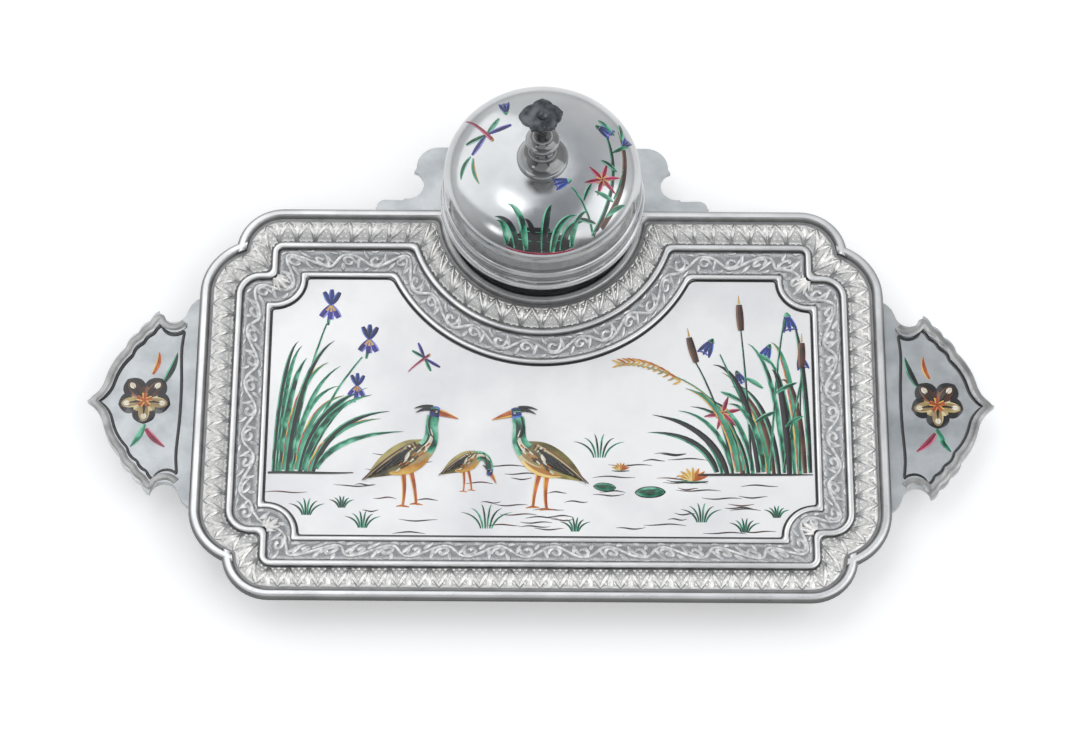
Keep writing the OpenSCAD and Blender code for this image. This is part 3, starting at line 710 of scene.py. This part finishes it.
for i in range(waveCount * 2):
    side = 1 if i % 2 == 0 else -1
    middle = wave * (i / 2 + 0.25)
    spiral = []
    for k in range(10):
        a, r = math.radians(200 - 42 * k), vineBand["curl"] - 0.2 * k
        across = 0.5 + side * (-0.02 + r * math.sin(a) / scrollBand["wide"])
        spiral.append(vinePoint(middle + 0.6 + r * math.cos(a) * 1.15, across))
    curls.append((spiral, (0.4, 0.6, 0.68, 0.68, 0.66, 0.62, 0.6, 0.6, 0.66, 0.8)))
    for points, radii in vineLeaves:
        curls.append(([vinePoint(middle + s, 0.5 + side * v) for s, v in points],
                      [r * vineBand["leaf"] for r in radii]))
layRelief("vineCurls", "scroll", 35, curls, vineBand["flat"], 0, 3)
layRelief("curlShade", "recess", 60, shaded(curls, *vineBand["curlShade"]), shadeFlat, 0, 2)

# A leaf over each notch of the middle bead, pointing inwards
notchLeaf = {"from": 0.8, "flat": 0.6, "lift": 0.1, "edge": (-2.5, 0.45), "bed": (-3.72, 0.1),
             "lobes": [(0, 7.4, 1.3), (-24, 6.4, 0.9), (24, 6.4, 0.9), (-44, 4.6, 0.75), (44, 4.6, 0.75)]}
(edgeZ, edgeFall), (bedZ, bedFall) = notchLeaf["edge"], notchLeaf["bed"]
notchX, notchY = border["notch"]
notchLines = []
for sideX in (-1, 1):
    for sideY in (-1, 1):
        for lean, reach, wide in notchLeaf["lobes"]:
            a, line = math.radians(225 + lean), []
            for t in (0, 0.3, 0.65, 1):
                d = notchLeaf["from"] + (reach - notchLeaf["from"]) * t
                line.append((sideX * (notchX + d * math.cos(a)), sideY * (notchY + d * math.sin(a)),
                             max(edgeZ - edgeFall * d, bedZ - bedFall * d) + notchLeaf["lift"]))
            notchLines.append((line, (0.7, wide, wide * 0.9, 0.12)))
layRelief("notchLeaves", "relief", 35, notchLines, notchLeaf["flat"], 1, 3)
print("relief laid on the bands")


# Enamel
black, deepGreen, emerald = (0.006, 0.006, 0.008), (0.006, 0.035, 0.022), (0.014, 0.20, 0.11)
jade, paleJade = (0.13, 0.48, 0.31), (0.36, 0.66, 0.50)
lime, gold, orange, crimson = (0.46, 0.50, 0.10), (0.78, 0.50, 0.10), (0.72, 0.20, 0.03), (0.42, 0.012, 0.06)


def threeTones(name, start, middle, end):
    return enamel(name, [(0.0, start), (0.5, middle), (1.0, end)])


paints = {
    "line": threeTones("blackEnamel", black, (0.02, 0.017, 0.016), black),
    "water": threeTones("waterEnamel", (0.05, 0.03, 0.025), black, (0.06, 0.05, 0.03)),
    "leaf": enamel("leafEnamel", [(0.0, deepGreen), (0.16, emerald), (0.34, jade), (0.6, paleJade),
                                  (0.88, jade), (1.0, emerald)]),
    "darkLeaf": enamel("darkLeafEnamel", [(0.0, black), (0.35, deepGreen), (0.75, emerald), (1.0, jade)]),
    "autumn": enamel("autumnEnamel", [(0.0, emerald), (0.4, jade), (0.65, lime), (0.85, gold),
                                      (1.0, crimson)], 0.2),
    "violet": enamel("violetEnamel", [(0.0, (0.02, 0.012, 0.10)), (0.45, (0.06, 0.05, 0.42)),
                                      (1.0, (0.28, 0.30, 0.78))]),
    "blue": threeTones("blueEnamel", (0.006, 0.01, 0.05), (0.02, 0.04, 0.30), (0.10, 0.20, 0.62)),
    "crimson": threeTones("crimsonEnamel", (0.14, 0.004, 0.02), crimson, (0.75, 0.22, 0.34)),
    "gold": threeTones("goldEnamel", (0.42, 0.17, 0.02), gold, (0.85, 0.66, 0.26)),
    "orange": threeTones("orangeEnamel", (0.30, 0.05, 0.01), orange, gold),
    "tan": threeTones("tanEnamel", (0.30, 0.20, 0.08), (0.52, 0.40, 0.17), (0.66, 0.58, 0.34)),
    "olive": threeTones("oliveEnamel", (0.05, 0.045, 0.02), (0.20, 0.17, 0.05), (0.42, 0.36, 0.12)),
    "cream": threeTones("creamEnamel", (0.62, 0.56, 0.42), (0.78, 0.74, 0.62), (0.82, 0.80, 0.72)),
    "brown": threeTones("brownEnamel", (0.03, 0.012, 0.008), (0.12, 0.04, 0.02), (0.24, 0.10, 0.04)),
}
enamelLay = {"panel": tray["panelZ"], "handle": -4.8, "dome": 0.0, "rise": 0.02, "layer": 0.035, "flat": 0.07}
drawn = {"panel": {}, "handle": {}, "dome": {}}


def pen(where, x=0, y=0, size=1.0, spin=0, flip=1):
    # Gives a function that adds strokes of enamel, drawn about a motif's own origin
    def draw(key, points, radii, layer=0, twist=0):
        height = enamelLay[where] + enamelLay["rise"] + enamelLay["layer"] * layer
        c, n = math.cos(math.radians(spin + twist)), math.sin(math.radians(spin + twist))
        line = [(x + flip * size * (u * c - v * n), y + size * (u * n + v * c), height) for u, v in points]
        drawn[where].setdefault(key, []).append((line, [r * size for r in radii]))

    return draw


onPanel, onDome = pen("panel"), pen("dome")


def ray(angle, reachX, reachY):
    # A point at an angle in degrees from a motif's origin, with its own reach along each axis
    return reachX * math.cos(math.radians(angle)), reachY * math.sin(math.radians(angle))


def grassLeaf(draw, key, x, y, lean, height, width, droop, layer=0):
    points = [(x, y), (x + lean * 0.08, y + height * 0.42), (x + lean * 0.38, y + height * 0.86),
              (x + lean, y + height * (1 - droop))]
    draw(key, points, (width * 0.55, width, width * 0.85, 0.05), layer)


def tuft(x, y, size):
    for i in range(6):
        share = (i + 0.5) / 6 * 2 - 1
        grassLeaf(onPanel, ("darkLeaf", "leaf")[i % 2], x + share * size * 0.25, y, share * size * 0.9,
                  size * (1.1 - 0.5 * abs(share)), 0.5, 0.05)


def stem(draw, points, width, key, layer):
    draw(key, points, [width] * (len(points) - 1) + [width * 0.6], layer)


def iris(x, y, size):
    draw = pen("panel", x, y, size)
    for angle in (-60, -90, -125):
        draw("violet", [(0, 0), ray(angle, 3.2, 3), ray(angle, 6.4, 6.2)], (0.5, 1.7, 1.1), 2)
        draw("gold", [ray(angle, 0.3, 0.4), ray(angle, 3, 3)], (0.2, 0.45), 4)
    for angle in (55, 90, 122):
        draw("blue", [(0, 0), ray(angle, 3, 3.2), ray(angle, 5.4, 6.6)], (0.5, 1.6, 0.7), 1)
    draw("leaf", [(-1.0, -8.6), (-0.6, -5), (0, -1)], (0.5, 1.0, 0.4))


def bellFlower(where, x, y, size, spin):
    draw = pen(where, x, y, size, spin)
    for u in (-1.5, 0, 1.5):
        draw("blue", [(u * 0.3, 0), (u * 0.9, -2.6), (u * 1.5, -5.4)], (0.6, 1.15, 0.25), 2)
    draw("leaf", [(0, 1.7), (0, 0.2)], (0.4, 1.35), 3)
    draw("violet", [(-2.2, -4.9), (0, -4.2), (2.2, -4.9)], (0.15, 0.4, 0.15), 4)


def lily(where, x, y, size, spin):
    draw = pen(where, x, y, size, spin)
    for k in range(6):
        draw("crimson", [(0, 0), (3.0, 0.2), (7.2, 0)], (0.35, 1.45, 0.12), 2 + k % 2, 60 * k)
        draw("gold", [(0.4, 0), (2.6, 0.1)], (0.16, 0.3), 5, 60 * k + 30)


def lotus(x, y, size):
    draw = pen("panel", x, y, size)
    for k, angle in enumerate((158, 22, 136, 44, 112, 68, 90)):
        petal = [(0, 0), ray(angle, 3.2, 2.6), ray(angle, 6.6, 5.4)]
        draw(("gold", "orange")[k % 2], petal, (0.5, 1.4, 0.12), 2 + k)
    draw("darkLeaf", [(-6, -0.6), (0, -1.3), (6, -0.5)], (0.2, 0.8, 0.2), 1)


def lilyPad(x, y, size, spin):
    draw = pen("panel", x, y, size, spin)
    for key, long, wide, layer in [("line", 6.2, 2.9, 0), ("leaf", 5.6, 2.35, 3)]:
        draw(key, [(-long, 0), (-long * 0.8, 0), (0, 0.1), (long * 0.8, 0), (long, 0)],
             (0.05, wide * 0.72, wide, wide * 0.72, 0.05), layer)
    for k in (-1, 0, 1):
        draw("darkLeaf", [(-4.2, 0.2), (0, 0.8 * k), (3.6, 1.3 * k)], (0.12, 0.2, 0.08), 7)


def wader(x, y, size, flip=1, headUp=True):
    # A long-legged marsh bird, seen from the side and standing at its feet
    draw = pen("panel", x, y, size, 0, flip)
    for foot, knee, hip in [((-1.2, 0), (-0.2, 7), (-1.6, 14)), ((3.4, 0.8), (3.0, 7.4), (1.0, 14))]:
        draw("orange", [foot, knee, hip], (0.5, 0.62, 1.1), 1)
        for toe in ((-2.2, -0.3), (2.4, -0.5)):
            draw("orange", [foot, (foot[0] + toe[0], foot[1] + toe[1])], (0.5, 0.15), 1)
    trunk = [(-13.5, 10.6), (-8.6, 14.2), (-1.4, 18.0), (4.4, 20.6), (7.2, 23)]
    draw("olive", trunk, (0.5, 3.8, 6.6, 5.4, 2.6), 2)
    draw("gold", [(-6, 12.2), (-1.4, 12.6), (3.4, 15.2), (6.4, 18.6)], (0.5, 2.2, 3.0, 1.6), 6)
    draw("tan", [(-3, 15), (1.6, 16.2), (5.4, 18.8), (8.2, 22.8)], (0.8, 3.0, 3.6, 2.0), 7)
    for k in range(8):
        tipX, tipY = -15.4 + 1.7 * k, 9.4 + 0.95 * k
        feather = [(3.0 - 0.5 * k, 23.0 - 0.4 * k), (-4.6 + 0.7 * k, 19.6 - 0.3 * k), (tipX, tipY)]
        gap = [(2.0 - 0.5 * k, 22.0 - 0.6 * k), (-5.0 + 0.7 * k, 18.6 - 0.3 * k), (tipX + 0.8, tipY - 0.3)]
        draw(("brown", "tan", "olive", "cream")[k % 4], feather, (1.2, 1.45, 0.15), 11 + k)
        draw("line", gap, (0.16, 0.26, 0.1), 22 + k)
    for k in range(14):
        u, v = -3.6 + 0.78 * k, 12.4 + 0.62 * k + 1.6 * (k % 2)
        draw(("cream", "orange", "brown")[k % 3], [(u, v), (u + 1.2, v + 1.2)], (0.2, 0.34), 22)
    # u and v are the middle of the head
    if headUp:
        neck, u, v = [(6.0, 21.4), (9.8, 25), (7.4, 29.4), (8.8, 33.6)], 9.4, 35.2
        bill = [(11, 35.2), (13.6, 34.4), (17.6, 32.8)]
        crest = [[(8.6, 37.2), (5.2, 38.2), (2.0, 36.6)], [(8.2, 36.6), (5.0, 36.8), (2.6, 35.0)]]
    else:
        neck, u, v = [(6.0, 21.4), (11, 23), (13.6, 18.4), (13.4, 13.4)], 13.8, 11.6
        bill = [(14.4, 10.4), (16, 8.2), (17.4, 4.4)]
        crest = [[(13.0, 12.6), (11.4, 15.0), (9.6, 16.0)]]
    draw("leaf", neck, (3.2, 2.4, 1.9, 2.2), 10)
    draw("cream", neck[:3], (0.9, 0.6, 0.2), 18)
    draw("darkLeaf", [(x - 1.1, y + 0.3) for x, y in neck[1:]], (0.5, 0.6, 0.5), 18)
    draw("blue", [(u - 1.8, v + 0.3), (u, v), (u + 1.5, v - 0.2)], (1.7, 2.8, 1.8), 12)
    draw("darkLeaf", [(u - 1.6, v + 1.1), (u + 1.0, v + 0.9)], (0.6, 0.5), 19)
    draw("orange", bill, (1.3, 0.9, 0.1), 11)
    for plume in crest:
        draw("line", plume, (0.7, 0.5, 0.08), 13)
    draw("cream", [(u + 0.2, v + 0.1), (u + 0.8, v)], (0.42, 0.42), 24)
    draw("line", [(u + 0.4, v + 0.1), (u + 0.7, v)], (0.2, 0.2), 40)


def dragonfly(where, x, y, size, spin):
    draw = pen(where, x, y, size, spin)
    draw("crimson", [(0, 4.4), (0, 0), (-0.4, -5.6), (0.6, -10.5)], (0.75, 0.8, 0.45, 0.2), 6)
    for angle, reach, key in [(18, 10, "violet"), (162, 10, "violet"), (-16, 8.4, "leaf"),
                              (196, 8.4, "leaf")]:
        a = math.radians(angle)
        wing = [(0, 1.4), (reach * 0.5 * math.cos(a), 1.4 + reach * 0.5 * math.sin(a)),
                (reach * math.cos(a), 1.4 + reach * math.sin(a))]
        draw(key, wing, (0.3, 1.5, 0.5), 2)
        draw("line", wing, (0.1, 0.2, 0.06), 6)
    draw("gold", [(0, 5.3), (0, 4.6)], (0.5, 0.8), 7)


# Marsh on the panel: irises at the left, bulrushes and bellflowers at the right, three waders between.
# A clump's "tall" and "lean" are a start, a growth along the clump and a random range.
marsh = {
    "seed": 7,
    "left": {"base": (-100, -84, -27), "count": 14, "keys": ("darkLeaf", "leaf", "leaf", "autumn"),
             "tall": (66, -44, (-12, 4)), "wobble": (-1, 1), "lean": (4, 22, (-3, 7)),
             "width": (1.2, 1.8), "droop": (0, 0.16)},
    "right": {"base": (66, 101, -27), "count": 19,
              "keys": ("darkLeaf", "leaf", "line", "leaf", "autumn", "brown"),
              "tall": (34, 28, (-16, 6)), "wobble": (-0.6, 0.6), "lean": (-26, 24, (-5, 3)),
              "width": (1.1, 1.7), "droop": (0, 0.2)},
    "tufts": [(-87, -45, 7), (-66, -50, 7), (-20, -50, 10), (13, -51, 6), (22, -21, 10),
              (60, -47, 8), (76, -51, 6), (88, -45, 5), (-74, -42, 5)],
    "water": {"count": 62, "x": (-98, 92), "top": -19, "deep": 33, "long": (6, 17),
              "banks": (84, -40, 64, -28)},
}
random.seed(marsh["seed"])


def clump(leaves):
    x0, x1, y = leaves["base"]
    (tall, taller, tallRange), (lean, leaner, leanRange) = leaves["tall"], leaves["lean"]
    for i in range(leaves["count"]):
        share = i / (leaves["count"] - 1)
        height = tall + taller * share + random.uniform(*tallRange)
        grassLeaf(onPanel, leaves["keys"][i % len(leaves["keys"])], x0 + (x1 - x0) * share,
                  y + random.uniform(*leaves["wobble"]), lean + leaner * share + random.uniform(*leanRange),
                  height, random.uniform(*leaves["width"]), random.uniform(*leaves["droop"]), i % 5)


clump(marsh["left"])
for points, spot, size in [([(-94, -26), (-90, 10), (-82, 34)], (-80.5, 42), 1.0),
                           ([(-90, -26), (-82, 2), (-68, 20)], (-65.5, 27.5), 0.95),
                           ([(-88, -26), (-82, -8), (-72, 2)], (-69.6, 8), 0.8)]:
    stem(onPanel, points, 0.55, "leaf", 2)
    iris(*spot, size)
clump(marsh["right"])
for x, y, lean, tall in [(72, -26, -14, 46), (79, -26, -3, 60), (97, -26, 2, 44)]:
    top = y + tall
    stem(onPanel, [(x, y), (x + lean * 0.3, y + tall * 0.6), (x + lean, top)], 0.45, "darkLeaf", 3)
    cob = [(x + lean * 0.93, y + tall * 0.97), (x + lean * 1.05, top + 4), (x + lean * 1.12, top + 9)]
    onPanel("brown", cob, (1.1, 1.75, 1.1), 8)
    onPanel("gold", [(x + lean * 1.12, top + 9.5), (x + lean * 1.16, top + 13)], (0.35, 0.1), 8)
for points, flowers in [
    ([(86, -26), (88, 0), (90, 24), (93, 37)], [(94, 38, 1.15, 10), (86.6, 25, 0.95, -25)]),
    ([(83, -26), (80, -4), (72, 12), (68, 22)], [(64.6, 27, 1.1, -30), (74.6, 14, 0.85, 20)]),
    ([(91, -26), (95, -2), (99, 10), (99.4, 18)], [(98.6, 21, 0.95, 12)]),
]:
    stem(onPanel, points, 0.45, "leaf", 4)
    for x, y, size, spin in flowers:
        bellFlower("panel", x, y, size, spin)
for x, y, lean in [(81, -6, 8), (84, 8, -7), (89, 6, 8), (92, -8, 7), (76, 2, -8), (88, 18, -6)]:
    onPanel("leaf", [(x, y), (x + lean * 0.5, y + 3.2), (x + lean, y + 4.4)], (0.3, 1.5, 0.1), 6)
lily("panel", 68.6, -2.4, 1.0, 12)
stem(onPanel, [(76, -26), (74, -14), (69.4, -5)], 0.45, "leaf", 3)
for k in range(13):
    x, y = 30 + 1.9 * k, 18.5 - 0.16 * (k - 3) ** 2 * 0.6
    upper = [(x, y), (x - 1.6, y + 1.3), (x - 3.2, y + 1.7)]
    lower = [(x, y), (x - 1.4, y - 1.0), (x - 3.0, y - 1.4)]
    onPanel(("gold", "orange")[k % 2], upper, (0.35, 0.7, 0.08), 5)
    onPanel(("gold", "tan")[k % 2], lower, (0.35, 0.65, 0.08), 4)
stem(onPanel, [(77, -26), (72, 4), (56, 14.5), (30, 18.5)], 0.35, "autumn", 3)
wader(-50, -41, 1.08)
wader(1, -42, 1.1, -1)
wader(-28, -35, 0.66, 1, False)
lotus(57, -30, 0.95)
lilyPad(41, -35, 0.95, 2)
lilyPad(24, -33, 0.7, -4)
lotus(30, -26, 0.55)
dragonfly("panel", -45, 19, 0.7, -50)
for x, y, size in marsh["tufts"]:
    tuft(x, y, size)
water = marsh["water"]
outerX, outerY, innerX, innerY = water["banks"]
for i in range(water["count"]):
    x, y = random.uniform(*water["x"]), water["top"] - water["deep"] * (i + 0.5) / water["count"]
    long = random.uniform(*water["long"])
    if abs(x) > outerX and y < outerY or abs(x) > innerX and y > innerY:
        continue
    points = [(x + long * (k / 4 - 0.5), y + 0.5 * math.sin(k * 1.7 + i)) for k in range(5)]
    onPanel(("water", "line", "water", "brown")[i % 4], points, (0.06, 0.24, 0.34, 0.24, 0.06), 0)
for points in [[(-102, -28), (-92, -27.6), (-80, -28.4), (-70, -27.8)],
               [(58, -28), (72, -27.4), (90, -27.8), (102, -27.5)]]:
    onPanel("line", points, (0.4, 0.55, 0.5, 0.15), 6)
print("marsh drawn")

# Pansies on the handles
pansy = {"x": 149.5, "y": 0.5, "size": 1.22,
         "petals": [(128, 7.6), (52, 7.6), (190, 6.8), (-10, 6.8), (-90, 6.6)]}
for side in (-1, 1):
    draw = pen("handle", side * pansy["x"], pansy["y"], pansy["size"], 0, side)
    for angle, reach in pansy["petals"]:
        petal = [ray(angle, reach * t, reach * t) for t in (0.0, 0.4, 0.8, 1.1, 1.2)]
        draw("line", petal, (0.8, 3.4, 4.2, 2.4, 0.1), 0)
        petal = [(x * 0.92, y * 0.92) for x, y in petal]
        draw(("brown", "tan")[reach < 7], petal, (0.5, 2.6, 3.3, 1.8, 0.1), 3)
        patch = [ray(angle, reach * t, reach * t) for t in (0.66, 0.74, 0.9, 0.98)]
        draw("cream", patch, (0.1, 1.1, 1.1, 0.1), 10)
        whisker = [ray(angle, 1.4, 1.4), ray(angle, reach * 0.75, reach * 0.75)]
        draw("line", whisker, (0.5, 0.12), 11)
    for k in range(5):
        draw("orange", [(0, 0), (2.4, 0)], (0.5, 0.9), 12, 72 * k + 20)
    draw("crimson", [(-1, -9.5), (-3.0, -13.0), (-7.0, -15.6)], (0.6, 1.5, 0.2), 2)
    draw("leaf", [(-0.4, -8), (1.0, -12.8), (3.6, -15.6)], (0.5, 1.6, 0.15), 2)
    draw("darkLeaf", [(-5.5, 6), (-8.6, 11), (-9.4, 16.4)], (0.5, 1.7, 0.1), 1)
    draw("orange", [(-2, 9), (-4.4, 13), (-3.6, 16.6)], (0.4, 1.3, 0.1), 1)


# Rounded edge of each handle, and the black line inside it. A part is its name, its scale,
# height, radius, flatness and finish, and whether it closes at the root.
handle = {"root": 134.2, "line": (0.885, 0.845), "edge": (0.95, 0.935), "start": 1.4,
          "foot": [(2.6, 22), (1.6, 8)],
          "parts": [("handleLines", "line", -4.76, 0.6, 0.25, paints["line"], True),
                    ("handleEdges", "edge", -4.04, 1.5, 0.3, metals["handleEdge"], False)]}
outline = (bow((129.8, 43.6), (134.9, 37.6), 0.9, 3) + arcLine(140.3, 38.5, 5.45, 190, 352, 12)
           + bow((145.7, 38.1), (149, 33.6), 0.5, 3) + bow((149, 33.6), (153.2, 28.8), 0.8, 3)
           + bow((153.2, 28.8), (157.7, 22.4), 1, 4) + bow((157.7, 22.4), (164.6, 9.6), 1, 5)
           + bow((164.6, 9.6), (171, 0), -1.2, 5))


def handleLine(scale, z, closed):
    (kx, ky), root = scale, handle["root"]
    half = [(root + (x - root) * kx, y * ky) for x, y in outline if x > root + handle["start"]]
    foot = [(root + x, -y) for x, y in handle["foot"]] + [(root + x, y) for x, y in handle["foot"][::-1]]
    return [(x, y, z) for x, y in half + [(x, -y) for x, y in half[-2::-1]] + (foot if closed else [])]


for name, part, z, r, flat, finish, closed in handle["parts"]:
    around = handleLine(handle[part], z, closed)
    lines = [([(side * x, y, z) for x, y, z in around], [r] * len(around)) for side in (-1, 1)]
    finishPiece(strokes(lines, flat, 1, 3, closed), name, finish, 60)

windowInk = {"inset": 25.35, "r": 0.4, "flat": 0.25}
inkLine = [(x, y, tray["panelZ"] + enamelLay["rise"]) for x, y in ringLine("window", windowInk["inset"])]
windowLine = strokes([(inkLine, [windowInk["r"]] * len(inkLine))], windowInk["flat"], 1, 1, True)
finishPiece(windowLine, "windowLine", paints["line"], 60, slot="panel_silver")

# Blossoms on the dome, drawn flat about its axis and then laid on its curve
for key, x, y, lean, tall, width in [("leaf", -13, -32.5, -4, 9, 1.3), ("darkLeaf", -9.6, -33.8, -8, 12, 1.6),
                                     ("leaf", -6, -34.8, -7, 18, 1.6), ("line", -2.6, -35.4, -4, 12, 1.3),
                                     ("darkLeaf", 0.6, -35.6, 3, 18, 1.8), ("leaf", 3.8, -35.4, 9, 14, 1.6),
                                     ("darkLeaf", 7.4, -34.8, 8, 11, 1.7), ("leaf", 11, -33.6, 6, 14, 1.3)]:
    grassLeaf(onDome, key, x, y, lean, tall, width, 0.1, 4)
for points, width, key in [([(19, -29), (27, -16), (28.5, -2), (24, 11)], 0.75, "darkLeaf"),
                           ([(19, -29), (17, -19), (11, -12)], 0.5, "leaf"),
                           ([(27, -15), (31, -5), (31, 3)], 0.5, "leaf"),
                           ([(22, -26), (31, -14), (33, 0), (29, 14)], 0.9, "brown")]:
    stem(onDome, points, width, key, 1)
for x, y, size, spin in [(21.5, 14.5, 1.0, 60), (9.4, -9.6, 0.95, -70), (30.6, 8, 0.7, 150),
                         (-14, 21, 0.85, 190)]:
    bellFlower("dome", x, y, size, spin)
lily("dome", 22.5, -8, 0.95, 15)
for x, y, lean, rise in [(24, -22, 7, 6), (26.6, -16, -7, 3), (28, -4, -6, 4), (26.5, 4, 6, 4),
                         (15.5, -17, 3, 7), (20, -25, -7, 1), (30, 10, -1, 8), (27, 12, -6, 6)]:
    onDome("leaf", [(x, y), (x + lean * 0.5, y + rise * 0.7), (x + lean, y + rise)], (0.3, 1.5, 0.12), 3)
dragonfly("dome", -22, 12, 1.0, -140)
onDome("leaf", [(-27, 2), (-30.5, -2), (-30.5, -7)], (0.3, 1.5, 0.1), 1)
onDome("autumn", [(-26, 1), (-26.5, -5), (-23.5, -10)], (0.3, 1.3, 0.1), 1)
for r, start, end, width, key in [(35.9, -112, -70, 0.24, "crimson"), (34.6, -112, -70, 1.3, "line"),
                                  (33.2, -111, -72, 1.2, "darkLeaf"), (31.7, -109, -75, 1.3, "line"),
                                  (30.2, -106, -79, 1.2, "darkLeaf"), (28.8, -102, -84, 1.0, "line")]:
    ground = arcLine(0, 0, r, start, end, 14)
    onDome(key, ground, [width * math.sin(math.pi * (i + 0.3) / 14.6) ** 0.3 for i in range(15)], 1)
bodies = {"panel": ("stand", "panel_silver"), "handle": ("stand", "oxidised_silver"),
          "dome": ("lid", "polished_silver")}
for where, colors in drawn.items():
    for key, lines in colors.items():
        if where == "dome":
            lines = [([(x, y + tray["bayY"], z) for x, y, z in points], radii) for points, radii in lines]
        piece = strokes(lines, enamelLay["flat"], 1, 5)
        if where == "dome":
            for vertex in piece.data.vertices:
                r = math.hypot(vertex.co.x, vertex.co.y - (tray["bayY"] + tray["shiftY"]) * mm) / mm
                vertex.co.z += domeHeight(r) * mm
        finishPiece(piece, where + key[0].upper() + key[1:] + "Enamel", paints[key], 60, *bodies[where])
print("enamel laid")


# Floor and light
floorSet = {"size": 6.0, "drop": 0.0002, "shade": 0.84, "glow": 0.3}
bpy.ops.mesh.primitive_plane_add(size=floorSet["size"], location=(0, 0, -floorSet["drop"]))
floor = bpy.context.object
floor.name = "floor"
material, tree, shader = newFinish("floorPaint", 0.0, 0.9)
shader.inputs["Base Color"].default_value = (floorSet["shade"],) * 3 + (1,)
# The floor glows only where it is seen straight, in a mirror or through glass
path = addNode(tree, "LightPath", {}).outputs
either = combined(tree, "MAXIMUM", path["Is Glossy Ray"], path["Is Transmission Ray"])
seen = combined(tree, "MAXIMUM", path["Is Camera Ray"], either)
glow = addNode(tree, "Emission", {"Strength": combined(tree, "MULTIPLY", seen, floorSet["glow"])})
both = addNode(tree, "AddShader", {0: shader.outputs["BSDF"], 1: glow.outputs["Emission"]})
tree.links.new(both.outputs["Shader"], tree.nodes["Material Output"].inputs["Surface"])
floor.data.materials.append(material)

lamps = [
    {"name": "softKey", "at": (-0.9, 0.8, 1.6), "size": 2.1, "power": 10.5},
    {"name": "softGlint", "at": (-0.42, 0.3, 1.94), "size": 0.4, "power": 1.0},
    {"name": "softSpark", "at": (-1.1, -0.8, 1.32), "size": 0.4, "power": 1.0},
    {"name": "softFill", "at": (1.1, -0.3, 1.2), "size": 1.6, "power": 8},
    {"name": "softFront", "at": (0.0, -1.3, 1.0), "size": 1.8, "power": 5},
]
lampAim = Vector((0, 0, 0.02))
for lamp in lamps:
    bpy.ops.object.light_add(type="AREA", location=lamp["at"])
    light = bpy.context.object
    light.name = lamp["name"]
    light.data.size = lamp["size"]
    light.data.energy = lamp["power"]
    light.rotation_euler = (lampAim - light.location).to_track_quat("-Z", "Y").to_euler()

studio = {"strength": 0.95, "room": (-0.8, -0.08, 0.3, 1.0),
          "sky": [(0.0, (0.62, 0.63, 0.65)), (0.25, (0.86, 0.87, 0.88)), (0.7, (0.76, 0.77, 0.79)),
                  (0.88, (0.5, 0.52, 0.55)), (1.0, (0.42, 0.44, 0.47))]}
world = bpy.data.worlds.new("studio")
world.use_nodes = True
bpy.context.scene.world = world
tree = world.node_tree
coords = addNode(tree, "TexCoord", {}).outputs["Generated"]
sky = ramp(tree, oneAxis(tree, coords, "Z"), studio["sky"])
# A darker room behind the writer, so that polished metal has something to show
room = rescaled(tree, oneAxis(tree, coords, "Y"), *studio["room"])
tree.links.new(multiplied(tree, sky, room), tree.nodes["Background"].inputs["Color"])
tree.nodes["Background"].inputs["Strength"].default_value = studio["strength"]
bpy.context.scene.view_settings.view_transform = "Standard"
print("floor and light set")
